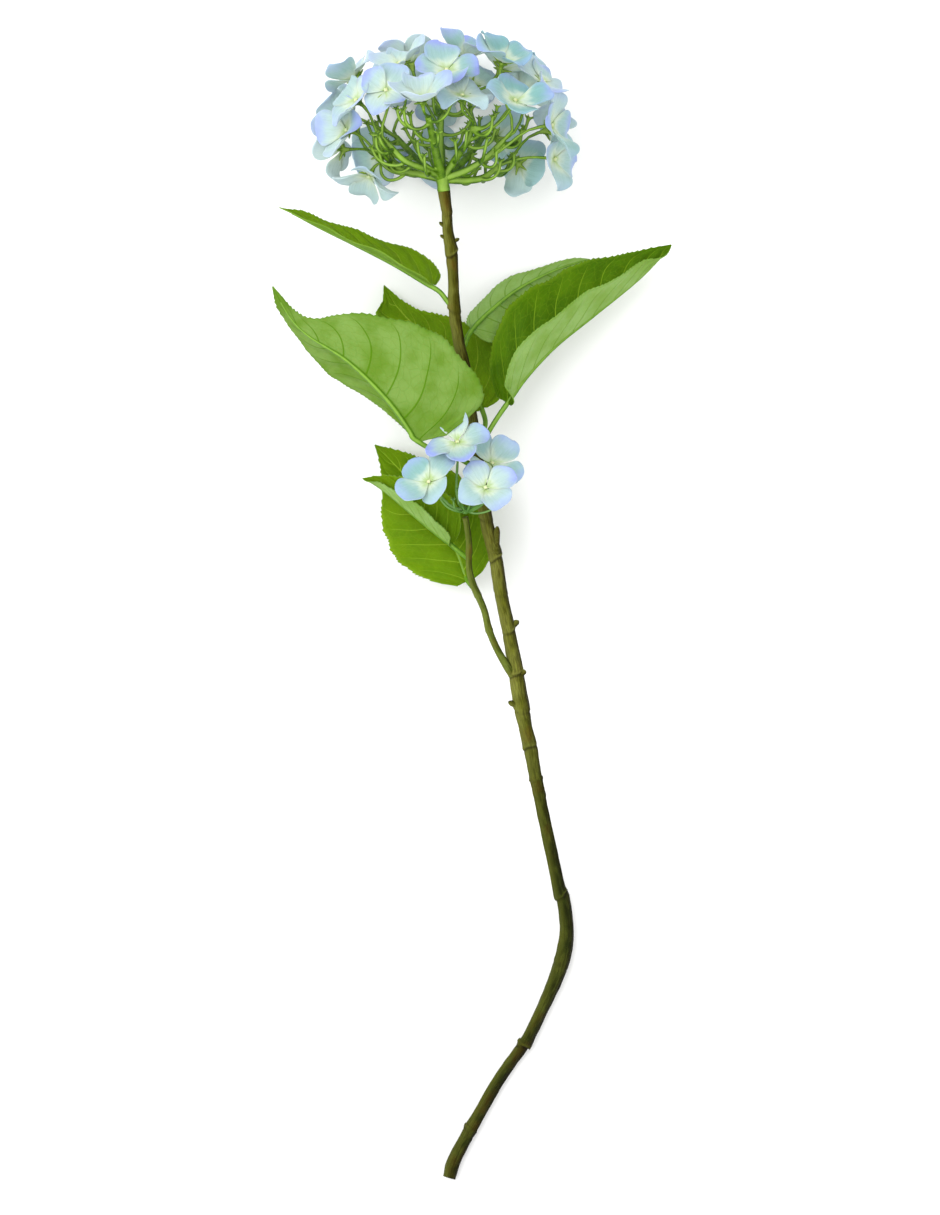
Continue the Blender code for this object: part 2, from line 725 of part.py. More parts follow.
def set_down(pieces, collection):
    """Hangs all pieces on one empty and moves it, so the outline's middle is over the origin."""
    bpy.context.view_layer.update()
    points = [piece.matrix_world @ v.co for piece in pieces for v in piece.data.vertices]
    low = Vector([min(point[i] for point in points) for i in range(3)])
    high = Vector([max(point[i] for point in points) for i in range(3)])
    root = bpy.data.objects.new("hydrangea_root", None)
    collection.objects.link(root)
    for piece in pieces:
        piece.parent = root
    root.location = -Vector(((low.x + high.x) / 2, (low.y + high.y) / 2, low.z))


def build():
    clear_scene()
    flower = bpy.data.collections.new("cut_hydrangea")
    helpers = bpy.data.collections.new("cutters")
    bpy.context.scene.collection.children.link(flower)
    bpy.context.scene.collection.children.link(helpers)

    stem, stem_cutters = make_stem(flower, helpers)
    shoot_route = smooth_route([Vector(point) for point in SHOOT], SHOOT_STEP)
    shoot = tube("side_shoot", shoot_route, flower)
    shoot = combine(shoot, stem_cutters[:1], "DIFFERENCE", flower)
    shoot_cutter = tube("fat_shoot", shoot_route, helpers, more=GAP)

    taken = [tree_of(piece.data, piece.matrix_world, CLEAR_HALF) for piece in (stem, shoot)]
    leaves = [
        make_leaf(name, leaf, [*stem_cutters[:1], shoot_cutter], flower) for name, leaf in LEAVES.items()
    ]
    taken += [tree_of(leaf.data, leaf.matrix_world, CLEAR_HALF) for leaf in leaves]

    stalks = []
    for name, (trunk, florets) in HEAD_STALKS.items():
        stalk = make_stalk(name, HUB, trunk, florets, flower)
        stalks.append(combine(stalk, stem_cutters, "DIFFERENCE", flower))
    taken += [tree_of(stalk.data, stalk.matrix_world, CLEAR_HALF) for stalk in stalks]

    shapes = [
        floret_mesh(name, FLORET_RADIUS, cup, flower) for name, cup in FLORET_CUPS.items()
    ]
    seats = [row for trunk, found in HEAD_STALKS.values() for row in found.items()]
    seats.sort(key=lambda row: -row[1][0][2])
    florets = []
    for name, (seat, facing, fork) in seats:
        place = HUB + Vector(seat)
        roll = HEAD_ROLL * len(florets)
        florets.append(
            place_floret(name, place, Vector(facing).normalized(), roll, shapes, taken, flower)
        )
    cluster = make_cluster(shoot_cutter, stem_cutters[:1], shapes, taken, flower)

    add_material([stem, shoot], material("bark"))
    add_material([*stalks, cluster[0]], material("green_stalk"))
    add_material(leaves, material("leaf"))
    add_material([*florets, *cluster[1:]], material("petal"))
    pieces = [stem, shoot, *leaves, *stalks, *florets, *cluster]
    for piece in pieces:
        piece.data.shade_smooth()
        piece.data.set_sharp_from_angle(angle=math.radians(SHARP_EDGE))
    for cutter in (*stem_cutters, shoot_cutter):
        cutter.hide_render = True
        cutter.display_type = "WIRE"
    set_down(pieces, flower)


build()
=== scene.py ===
"""The finished look of a cut hydrangea that lies on a pale table: a woody stem with its side shoot,
veined leaves with toothed margins, forked green stalks, and florets of four thin tinted petals.

Lengths in the tables and in the shape functions are in millimetres; MM turns them into metres.
"""

import json
import math
import random

import bpy
import numpy as np
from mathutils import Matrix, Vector, noise

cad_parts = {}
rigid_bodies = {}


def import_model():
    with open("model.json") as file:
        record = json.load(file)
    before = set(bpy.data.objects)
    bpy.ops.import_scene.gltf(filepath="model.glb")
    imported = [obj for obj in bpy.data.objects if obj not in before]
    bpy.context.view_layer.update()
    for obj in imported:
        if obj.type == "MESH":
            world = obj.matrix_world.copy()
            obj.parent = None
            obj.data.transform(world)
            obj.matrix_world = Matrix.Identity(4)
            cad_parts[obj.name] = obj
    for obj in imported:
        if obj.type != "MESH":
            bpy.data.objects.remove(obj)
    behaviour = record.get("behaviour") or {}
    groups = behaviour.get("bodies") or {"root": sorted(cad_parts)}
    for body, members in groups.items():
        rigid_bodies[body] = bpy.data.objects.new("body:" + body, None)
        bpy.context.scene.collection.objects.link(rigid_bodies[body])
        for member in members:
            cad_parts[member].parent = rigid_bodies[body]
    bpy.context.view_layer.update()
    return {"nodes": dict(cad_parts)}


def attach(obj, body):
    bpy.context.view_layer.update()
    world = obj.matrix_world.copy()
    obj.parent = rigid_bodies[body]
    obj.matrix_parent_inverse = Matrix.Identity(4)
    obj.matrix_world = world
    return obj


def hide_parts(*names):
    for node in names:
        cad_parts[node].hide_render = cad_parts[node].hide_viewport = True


for startup_object in list(bpy.data.objects):
    bpy.data.objects.remove(startup_object)
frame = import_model()

MM = 0.001
DRAWING_SHIFT = np.array((-1.4824, 1.4479, 0.5369))  # from the zero of the tables to the origin

# ---------------------------------------------------------------- the plant's own measurements

# Main stem: x, y, z, radius, from the slanted cut end up to the base of the head
STEM = [
    (-13.5, -372.0, 4.6, 4.2),
    (-10.0, -360.0, 4.6, 4.4),
    (-1.5, -344.0, 4.8, 4.1),
    (0.5, -340.0, 4.9, 4.7),
    (3.0, -336.0, 4.9, 4.0),
    (19.5, -307.0, 5.2, 3.9),
    (33.0, -287.5, 5.6, 3.9),
    (35.0, -284.5, 5.8, 4.9),
    (37.5, -281.0, 5.9, 4.0),
    (48.5, -258.5, 6.6, 4.1),
    (59.0, -233.5, 7.4, 5.1),
    (63.0, -211.5, 8.4, 4.6),
    (61.0, -190.5, 10.0, 4.3),
    (59.5, -187.0, 10.3, 5.1),
    (58.0, -183.0, 10.7, 4.1),
    (54.0, -163.0, 12.6, 4.0),
    (48.0, -135.0, 16.2, 3.9),
    (44.0, -115.0, 19.0, 4.0),
    (43.3, -111.5, 19.5, 4.8),
    (42.5, -108.0, 20.0, 4.1),
    (39.5, -90.5, 22.6, 4.6),
    (36.5, -78.0, 24.6, 4.3),
    (34.0, -66.0, 26.6, 5.0),
    (30.0, -42.0, 30.6, 4.9),
    (25.5, -17.0, 35.0, 4.3),
    (20.0, 10.0, 39.4, 4.2),
    (16.5, 33.0, 43.0, 4.4),
    (10.5, 57.0, 47.2, 4.2),
    (3.0, 109.0, 55.2, 3.9),
    (-4.0, 156.0, 61.8, 3.7),
    (-7.5, 174.0, 64.2, 3.6),
    (-10.0, 193.5, 66.6, 3.9),
    (-10.8, 214.0, 69.2, 3.4),
    (-12.0, 230.0, 71.2, 4.0),
    (-14.2, 243.5, 72.6, 3.5),
    (-15.2, 257.0, 74.0, 3.4),
    (-17.0, 270.0, 75.2, 4.1),
    (-17.8, 276.0, 75.8, 4.0),
]
# Short growths on the stem: where they sit, where they point, length and radius
STUBS = {
    "broken_stub": ((16.6, 38.0, 45.5), (0.08, 0.98, 0.18), 15.0, 2.3),
    "low_bud": ((31.5, -64.0, 27.0), (-0.85, 0.35, 0.35), 7.5, 2.0),
    "shoulder_bud": ((27.5, -12.0, 36.0), (0.75, 0.60, 0.20), 5.5, 2.0),
    "shoulder_scar": ((31.0, -43.0, 31.0), (0.90, 0.20, 0.35), 6.0, 2.2),
    "upper_bud_left": ((-14.8, 246.0, 73.0), (-0.80, 0.60, 0.15), 6.5, 1.3),
    "upper_bud_left_low": ((-14.2, 238.5, 72.5), (-0.85, 0.50, 0.10), 6.0, 1.2),
    "upper_bud_right": ((-12.5, 236.0, 72.2), (0.85, 0.50, 0.10), 6.5, 1.3),
}
# Side shoot, from the stem to its small flower cluster
SHOOT = [
    (28.0, -43.0, 31.5, 2.6),
    (24.0, -38.0, 35.2, 2.5),
    (17.6, -27.0, 38.6, 2.3),
    (12.4, -14.6, 42.0, 2.3),
    (9.0, -1.0, 45.0, 2.2),
    (2.0, 15.3, 49.6, 2.3),
    (-0.6, 26.3, 52.4, 2.0),
    (-0.6, 41.3, 56.6, 2.0),
    (-2.0, 53.0, 60.6, 1.9),
    (-3.0, 58.5, 63.0, 2.0),
]
HUB = np.array((-18.0, 278.0, 76.0))
CLUSTER_HUB = np.array((-3.2, 63.0, 65.0))


# Head stalks: the main points of each, measured from HUB
TRUNKS = {
    "stalk_left": ((-14, 3, 1), (-26, 5.5, 4), (-37, 14, 6)),
    "stalk_front_left": ((-11, 6, 11), (-24, 11, 19), (-35, 22, 21)),
    "stalk_front": ((-3, 11, 13), (-6, 26, 28), (-9, 39, 42)),
    "stalk_front_right": ((9, 13, 9), (16, 23, 19), (20, 34, 28)),
    "stalk_right": ((15, 5, 4), (28, 13, 9), (40, 25, 12)),
    "stalk_right_low": ((15, -1, -5), (27, 1, -9), (37, 9, -10)),
    "stalk_back_right": ((12, 10, -14), (21, 20, -26), (28, 30, -37)),
    "stalk_back_left": ((-12, 9, -14), (-21, 18, -26), (-30, 28, -34)),
    "stalk_top": ((-1, 14, 0), (-1, 31, 0), (0, 46, 1)),
    "stalk_back": ((0, 4, -14), (0, 14, -30), (0, 23, -42)),
}

# Leaves: petiole and spine points, upward direction at base and tip,
# and for the right and left halves the width, the fold and the curl in degrees
LEAVES = {
    "leaf_left_large": dict(
        petiole=[(1.5, 92, 53), (-8, 97, 64), (-22, 101, 73)],
        spine=[
            (-34, 107, 77), (-52, 133, 85), (-78, 159, 87),
            (-104, 176, 84), (-117, 189, 81), (-128, 208, 83),
        ],
        face=[(0.25, 0.10, -1.0), (0.10, 0.30, -1.0)],
        width=(31, 55),
        fold=(62, 2),
        curl=(-12, 14),
    ),
    "leaf_right_large": dict(
        petiole=[(3.5, 97, 54), (8, 106, 56), (15, 119, 57)],
        spine=[
            (24, 133, 56), (36, 150, 55), (55, 170, 51),
            (80, 190, 42), (111, 215, 34), (131, 236, 28),
        ],
        face=[(-0.06, 0.05, 1.0), (-0.06, 0.05, 1.0)],
        width=(34, 40),
        fold=(104, -2),
        curl=(7, -8),
    ),
    "leaf_right_behind": dict(
        petiole=[(-6, 166, 62), (-3.0, 172, 58), (-1.0, 177, 53)],
        spine=[
            (1, 181, 48), (13, 193, 38), (29, 206, 27),
            (47, 216, 19), (64, 223, 13), (78, 227, 10),
        ],
        face=[(0.10, 0.35, -0.95), (0.10, 0.35, -0.95)],
        width=(19, 26),
        fold=(68, 6),
        curl=(10, -8),
    ),
    "leaf_upper_left": dict(
        petiole=[(-10, 193, 66.5), (-15, 199, 67), (-20, 205, 67)],
        spine=[
            (-25, 210, 66), (-49, 224, 62), (-75, 237, 56),
            (-96, 247, 50), (-112, 255, 46), (-124, 260, 44),
        ],
        face=[(0.35, 0.92, 0.15), (0.35, 0.90, 0.20)],
        width=(24, 25),
        fold=(14, 5),
        curl=(8, 8),
    ),
    "leaf_behind": dict(
        petiole=[(4, 104, 54), (8, 112, 47), (10, 121, 41)],
        spine=[
            (8, 130, 36), (-3, 151, 27), (-24, 172, 18),
            (-42, 190, 11), (-50, 200, 9), (-56, 210, 9),
        ],
        face=[(0.15, 0.20, 1.0), (0.10, 0.25, 1.0)],
        width=(27, 29),
        fold=(4, 8),
        curl=(10, 28),
    ),
    "leaf_lower": dict(
        petiole=[(3, 12.5, 48.5), (2.5, 12.5, 42), (1.0, 14.0, 34)],
        spine=[
            (-2, 17, 28), (-9, 37, 24), (-20, 58, 20),
            (-37, 80, 16), (-50, 94, 14), (-62, 106, 14),
        ],
        face=[(-0.05, 0.10, 1.0), (0.05, 0.05, 1.0)],
        width=(30, 37),
        fold=(10, 4),
        curl=(10, -12),
    ),
    "leaf_lower_folded": dict(
        petiole=[(-0.6, 31, 54), (-4, 34, 49), (-8, 37, 45)],
        spine=[
            (-12, 41, 42), (-26, 52, 41), (-42, 65, 39),
            (-53, 74, 37), (-62, 80, 36), (-70, 84, 36),
        ],
        face=[(-0.10, 0.20, 0.95), (-0.10, 0.20, 0.95)],
        width=(24, 13),
        fold=(6, 106),
        curl=(8, 8),
    ),
}


# ---------------------------------------------------------------- building blocks

FLOOR_GAP = 0.5  # how close to the floor a petal or leaf may come
FLOOR_EASE = 3.0  # below this height it starts to bend away from the floor


class Patchwork:
    """The points and faces of one piece, gathered from patches. Each face corner has a chart: across,
    along, and two numbers more, given once for the patch or for each of its points."""

    def __init__(self):
        self.points = []
        self.faces = []
        self.charts = []
        self.finishes = []
        self.count = 0

    def add(self, points, quads, shares, tone=(0.0, 0.0), finish=0):
        """One patch of points and four-cornered faces; gives back the number of its first point."""
        first = self.count
        self.points.append(points)
        self.count += len(points)
        self.faces += (quads + first).tolist()
        if np.ndim(tone) == 2:
            held = tone[quads].reshape(-1, 2)
        else:
            held = np.broadcast_to(tone, (shares.shape[0] * shares.shape[1], 2))
        self.charts.append(np.hstack([shares.reshape(-1, 2), held]))
        self.finishes += [finish] * len(quads)
        return first

    def close(self, corners, share, tone=(0.0, 0.0), finish=0):
        """One flat face over a ring of points."""
        self.faces.append(list(corners))
        self.charts.append(np.tile((*share, *tone), (len(corners), 1)))
        self.finishes.append(finish)

    def mesh(self, name):
        """All the patches as one mesh in metres, with its charts and finish numbers."""
        mesh = bpy.data.meshes.new(name)
        mesh.from_pydata((np.vstack(self.points) * MM).tolist(), [], self.faces)
        charts = np.vstack(self.charts)
        for layer_name, columns in (("chart", (0, 1)), ("tone", (2, 3))):
            layer = mesh.uv_layers.new(name=layer_name)
            layer.data.foreach_set("uv", charts[:, columns].ravel().astype(np.float32))
        mesh.polygons.foreach_set("material_index", self.finishes)
        mesh.shade_smooth()
        return mesh


def show(name, mesh, finishes, slot, *stands_for):
    """Puts a finished piece in the scene on the flower's one body."""
    piece = bpy.data.objects.new(name, mesh)
    bpy.context.scene.collection.objects.link(piece)
    for finish in finishes:
        mesh.materials.append(finish)
    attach(piece, "root")
    if stands_for:
        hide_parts(*stands_for)
    return piece


def unit(vectors):
    """The same directions, each of length 1."""
    vectors = np.asarray(vectors, float)
    return vectors / np.linalg.norm(vectors, axis=-1, keepdims=True)


def ease(low, high, value):
    """0 below low, 1 above high, and smooth between."""
    t = np.clip((value - low) / (high - low), 0, 1)
    return t * t * (3 - 2 * t)


def turns(sides):
    """The angles of even sides once round a tube."""
    return np.arange(sides) * 2 * math.pi / sides


def solid_points(node):
    """The points of a plain solid, in millimetres."""
    source = frame["nodes"][node].data
    points = np.empty(len(source.vertices) * 3)
    source.vertices.foreach_get("co", points)
    return points.reshape(-1, 3) / MM


def above_floor(points):
    """The same points, with those that would reach below the floor eased up to just above it."""
    heights = points[..., 2]
    room = FLOOR_EASE - FLOOR_GAP
    lifted = FLOOR_GAP + room * np.exp((np.minimum(heights, FLOOR_EASE) - FLOOR_EASE) / room)
    points[..., 2] = np.where(heights < FLOOR_EASE, lifted, heights)
    return points


def smooth_route(points, step):
    """Even steps of a smooth curve through points of x, y, z and any numbers after them."""
    points = np.array(points, float)
    ends = np.vstack([2 * points[0] - points[1], points, 2 * points[-1] - points[-2]])
    route = []
    for before, start, end, after in zip(ends, ends[1:], ends[2:], ends[3:]):
        pieces = max(1, round(float(np.linalg.norm(end[:3] - start[:3])) / step))
        for i in range(pieces):
            t = i / pieces
            bend = (end - before) * t
            bend = bend + (2 * before - 5 * start + 4 * end - after) * t**2
            bend = bend + (3 * start - before - 3 * end + after) * t**3
            route.append(start + bend / 2)
    route.append(points[-1])
    return np.array(route)


def lengths_along(route):
    """The length of the route up to each of its points."""
    steps = np.linalg.norm(np.diff(route[:, :3], axis=0), axis=1)
    return np.concatenate([[0.0], np.cumsum(steps)])


def even_points(route, count):
    """count + 1 points at even lengths along a route."""
    lengths = lengths_along(route)
    wanted = np.linspace(0, lengths[-1], count + 1)
    return np.stack([np.interp(wanted, lengths, column) for column in route.T], axis=1)


def route_frames(route):
    """Directions along a route, and two across it that turn no more than they must."""
    along = unit(np.gradient(route[:, :3], axis=0))
    guide = np.array((0.0, 0.0, 1.0)) if abs(along[0][2]) < 0.9 else np.array((1.0, 0.0, 0.0))
    first = []
    for way in along:
        guide = guide - way * guide.dot(way)
        guide = guide / np.linalg.norm(guide)
        first.append(guide)
    first = np.array(first)
    return along, first, np.cross(along, first)


def quad_grid(rows, columns, closed):
    """Faces of a grid of points, and the share across and along at each face corner."""
    i, j = np.meshgrid(np.arange(rows), np.arange(columns), indexing="ij")
    i, j = i.ravel(), j.ravel()
    wide = columns if closed else columns + 1
    corners = ((i, j), (i, j + 1), (i + 1, j + 1), (i + 1, j))
    quads = np.stack([a * wide + b % wide for a, b in corners], axis=1)
    shares = np.stack([np.stack([b / columns, a / rows], axis=1) for a, b in corners], axis=1)
    return quads, shares


def add_tube(work, route, radius, sides, tone=(0.0, 0.0), finish=0):
    """A closed tube along a route. radius: one per row, or one per row and side."""
    _, first, second = route_frames(route)
    turn = turns(sides)
    radius = np.asarray(radius, float)
    if radius.ndim == 1:
        radius = np.repeat(radius[:, None], sides, axis=1)
    spokes = first[:, None] * np.cos(turn)[None, :, None] + second[:, None] * np.sin(turn)[None, :, None]
    points = route[:, None, :3] + spokes * radius[:, :, None]
    quads, shares = quad_grid(len(route) - 1, sides, True)
    start = work.add(points.reshape(-1, 3), quads, shares, tone, finish)
    last = start + (len(route) - 1) * sides
    ends = tone if np.ndim(tone) == 1 else (0.0, 0.0)
    work.close(range(start + sides - 1, start - 1, -1), (0.5, 0.0), ends, finish)
    work.close(range(last, last + sides), (0.5, 1.0), ends, finish)


def rim_of(rows, columns):
    """Grid places once round the edge, anticlockwise seen from above."""
    path = [(0, j) for j in range(columns)]
    path += [(i, columns) for i in range(rows)]
    path += [(rows, j) for j in range(columns, 0, -1)]
    path += [(i, 0) for i in range(rows, 0, -1)]
    return np.array(path)


def grid_normals(points):
    """Directions square to a grid of points, one for each point."""
    across = np.gradient(points, axis=1)
    along = np.gradient(points, axis=0)
    normals = np.cross(across, along)
    size = np.linalg.norm(normals, axis=-1, keepdims=True)
    return normals / np.maximum(size, 1e-9)


def add_sheet(work, points, above, below, tone=(0.0, 0.0), chart=None):
    """A thin closed sheet round a grid of points: above and below are its distances to either face.
    The upper face has finish 0, the lower face and the rim finish 1. chart: the shares across and
    along at each point, where they differ from the grid's own."""
    rows, columns = points.shape[0] - 1, points.shape[1] - 1
    normals = grid_normals(points)
    upper = (points + normals * above[..., None]).reshape(-1, 3)
    lower = (points - normals * below[..., None]).reshape(-1, 3)
    quads, shares = quad_grid(rows, columns, False)
    if chart is not None:
        shares = chart.reshape(-1, 2)[quads]
    work.add(upper, quads, shares, tone, 0)
    work.add(lower, quads[:, ::-1], shares[:, ::-1], tone, 1)
    path = rim_of(rows, columns)
    after = np.roll(path, -1, axis=0)
    here = path[:, 0] * (columns + 1) + path[:, 1]
    there = after[:, 0] * (columns + 1) + after[:, 1]
    count = len(upper)
    first = work.count - 2 * count
    rim = np.stack([here + count, there + count, there, here], axis=1) + first
    if chart is None:
        own_shares = np.meshgrid(np.linspace(0, 1, columns + 1), np.linspace(0, 1, rows + 1))
        chart = np.stack(own_shares, axis=-1)
    share_here = chart[path[:, 0], path[:, 1]]
    share_there = chart[after[:, 0], after[:, 1]]
    rim_shares = np.stack([share_here, share_there, share_there, share_here], axis=1)
    work.faces += rim.tolist()
    held = np.broadcast_to(tone, (rim_shares.shape[0] * 4, 2))
    work.charts.append(np.hstack([rim_shares.reshape(-1, 2), held]))
    work.finishes += [1] * len(rim)


def add_bead(work, centre, way, radius, flat, lobes, finish):
    """A small lobed bead, flattened along way."""
    rows, sides = 8, 16
    poles = math.pi / 2 * 0.94  # how near to its ends the bead is drawn
    way = unit(way)
    side = unit(np.cross(way, (0.31, 0.87, 0.38)))
    other = np.cross(way, side)
    turn = turns(sides)
    up = np.linspace(-poles, poles, rows + 1)
    ring = np.cos(up)[:, None] * (1 + lobes * np.cos(4 * turn))[None]
    points = side * (ring * np.cos(turn))[..., None] + other * (ring * np.sin(turn))[..., None]
    points = (points + way * (np.sin(up) * flat)[:, None, None]) * radius + centre
    quads, shares = quad_grid(rows, sides, True)
    start = work.add(points.reshape(-1, 3), quads, shares, (0.0, 0.0), finish)
    last = start + rows * sides
    work.close(range(start + sides - 1, start - 1, -1), (0.5, 0.0), finish=finish)
    work.close(range(last, last + sides), (0.5, 1.0), finish=finish)


def blended(work, name, grain, smoothing):
    """The patches melted into one skin with soft creases where they meet."""
    rough = bpy.data.objects.new(name + "_rough", work.mesh(name + "_rough"))
    bpy.context.scene.collection.objects.link(rough)
    melt = rough.modifiers.new("melt", "REMESH")
    melt.mode = "VOXEL"
    melt.voxel_size = grain * MM
    melt.use_smooth_shade = True
    soften = rough.modifiers.new("soften", "SMOOTH")
    soften.factor = 0.5
    soften.iterations = smoothing
    graph = bpy.context.evaluated_depsgraph_get()
    mesh = bpy.data.meshes.new_from_object(rough.evaluated_get(graph))
    bpy.data.objects.remove(rough)
    mesh.name = name
    return mesh


# ---------------------------------------------------------------- stem and side shoot

# Rings on the stem: place along Y, side of its bud scar in degrees, strength
STEM_RINGS = [
    (-341, 200, 0.8),
    (-285, 20, 1.0),
    (-232, 190, 0.5),
    (-187, 30, 1.0),
    (-122, 150, 0.6),
    (-90, 330, 0.9),
    (-66, 170, 1.0),
    (-42, 10, 1.1),
    (-14, 60, 0.9),
    (10, 170, 0.7),
    (33, 20, 1.0),
    (58, 200, 0.8),
    (97, 20, 0.7),
    (156, 150, 0.8),
    (193, 200, 1.2),
    (230, 30, 1.1),
    (257, 150, 0.6),
]
BARK_END = 270.5  # the green neck begins here
RING_RISE = 0.9  # a ring's lip rises over this length and falls away over the next
RING_FALL = 5.5
RING_HEIGHT = 1.15
CREASE_DEPTH = 0.30
GROOVE_AT = -240.0  # where along the stem its long groove lies, how long, and how deep it is
GROOVE_REACH = 9.0
GROOVE_DEPTH = 0.8
STEM_SIDES = 40
SHOOT_SIDES = 24
STEM_BARK_DEPTH = 0.30
SHOOT_BARK_DEPTH = 0.08


def growth(work, start, way, length, radius):
    """A bud or broken stub: wide where it leaves the stem, then a blunt tip."""
    start, way = np.array(start, float) + DRAWING_SHIFT, unit(way)
    shape = ((-0.15, 1.9), (0.06, 1.5), (0.2, 1.12), (0.5, 1.0), (0.76, 0.92), (0.9, 0.66), (1.0, 0.3))
    points = [(*(start + way * length * part), radius * wide) for part, wide in shape]
    route = smooth_route(points, 0.45)
    turn = turns(18)
    rough = 1 + 0.07 * np.sin(3 * turn)[None] + 0.05 * np.sin(5 * turn + 1.3)[None]
    add_tube(work, route, route[:, 3:4] * rough, len(turn))


def barked(route, radius, sides, seed, depth):
    """Radii of a bark-covered branch: lengthwise ridges that drift, and a fine unevenness."""
    lengths = lengths_along(route)
    turn = turns(sides)
    rings = np.repeat(radius[:, None], sides, axis=1)
    for k, share in ((3, 0.9), (5, 0.7), (8, 0.45), (13, 0.30)):
        drift = 1.7 * np.sin(lengths / (31.0 + 5 * k) + seed * k) + seed * 2.3 * k
        strength = 0.55 + 0.45 * np.sin(lengths / (23.0 + 3 * k) + seed + k)
        rings += depth * share * strength[:, None] * np.cos(k * turn[None] + drift[:, None])
    grain = np.empty_like(rings)
    for i, length in enumerate(lengths):
        for j, angle in enumerate(turn):
            spot = Vector((math.cos(angle) * 2.2, math.sin(angle) * 2.2, length * 0.16 + seed * 9))
            grain[i, j] = noise.noise(spot)
    return rings + depth * 0.9 * grain


def make_stem():
    """The main stem with its rings, bud scars, buds and the broken stub."""
    route = smooth_route(STEM, 1.0)
    route = route[route[:, 1] < BARK_END]
    radius = barked(route, route[:, 3].copy(), STEM_SIDES, 1.7, STEM_BARK_DEPTH)
    lengths = lengths_along(route)
    turn = turns(STEM_SIDES)
    painted_ring_light = np.zeros((*radius.shape, 2))  # how much each point is on a ring's lip, for a painted highlight, and in its crease, for painted shade
    for place, side, strength in STEM_RINGS:
        ring_at = np.interp(place, route[:, 1], lengths)
        lean = 1.5 * np.cos(turn - math.radians(side + 70)) + 0.4 * np.sin(3 * turn + side)
        gap = lengths[:, None] - ring_at - lean[None]
        lip = np.where(gap < 0, np.exp(gap / RING_RISE), np.exp(-gap / RING_FALL))
        crease = np.exp(-(((gap + 1.7) / 0.9) ** 2))
        toward = 0.50 + 0.50 * np.cos(turn - math.radians(side))
        radius += (RING_HEIGHT * lip * toward[None] ** 1.5 - CREASE_DEPTH * crease) * strength
        # Painted highlight along each ring's lip and painted shade in its crease.
        edge = np.exp(-((gap / 0.8) ** 2)) * toward[None] ** 2
        painted_crease_shade = crease * (0.35 + 0.65 * toward[None])
        painted_ring_light = np.maximum(painted_ring_light, np.stack([edge, painted_crease_shade], axis=-1) * min(1.0, strength))
    groove_at = np.interp(GROOVE_AT, route[:, 1], lengths)
    reach = np.exp(-(((lengths - groove_at) / GROOVE_REACH) ** 2))
    groove = np.exp(-(((turn - math.radians(100)) / 0.22) ** 2))
    radius -= GROOVE_DEPTH * reach[:, None] * groove[None]
    route[:, :3] += DRAWING_SHIFT
    work = Patchwork()
    add_tube(work, route, radius, STEM_SIDES, painted_ring_light.reshape(-1, 2))
    for start, way, length, thick in STUBS.values():
        growth(work, start, way, length, thick)
    show("stem_bark", work.mesh("stem_bark"), [bark], "woody_bark", "main_stem")


def make_shoot():
    """The side shoot with three low rings, flared where it leaves the stem."""
    route = smooth_route(SHOOT, 0.8)
    radius = barked(route, route[:, 3].copy(), SHOOT_SIDES, 4.1, SHOOT_BARK_DEPTH)
    lengths = lengths_along(route)
    for ring_at in (0.30, 0.52, 0.78):
        gap = lengths - lengths[-1] * ring_at
        lip = np.where(gap < 0, np.exp(gap / 0.7), np.exp(-gap / 3.0))
        radius += 0.38 * lip[:, None]
    flare = np.exp(-lengths / 6.0) * 1.1
    radius += flare[:, None]
    route[:, :3] += DRAWING_SHIFT
    work = Patchwork()
    add_tube(work, route, radius, SHOOT_SIDES)
    show("shoot_bark", work.mesh("shoot_bark"), [shoot_bark], "woody_bark", "side_shoot")


# ---------------------------------------------------------------- leaves

LEAF_ROWS = 250
HALF_COLUMNS = 30
BLADE = 0.30  # half the thickness of a blade
TOOTH_PITCH = 3.4
TOOTH_DEPTH = 1.15
QUILT = 0.42  # how far the blade bulges between its side veins
RIB = 0.34  # how far side veins stand out on the underside
TROUGH = 0.55  # how deep the blade dips along its midrib
MIDRIB_START = 6  # rows from the base where the midrib takes over from the petiole
MIDRIB_STEP = 8


def leaf_width(along, outline):
    """Half width of one side of a blade as a share of its widest, smooth through its main places."""
    curve = smooth_route([(place, wide, 0.0) for place, wide in outline], 0.02)
    return np.maximum(np.interp(along, curve[:, 0], curve[:, 1]), 0.012)


def fold_share(along):
    """How much of its fold a blade has at one row: it flattens out at the base and the tip."""
    return np.clip(np.minimum(along / 0.05, (1 - along) / 0.14), 0, 1) ** 0.6


def vein_phase(across, along, leaf):
    """Whole numbers on the side veins, which leave the midrib forward and curve to the tip."""
    reach = np.abs(across)
    return (along - 0.13 * reach - 0.11 * reach**2) * leaf["veins"] + np.where(across > 0, 0.42, 0.0)


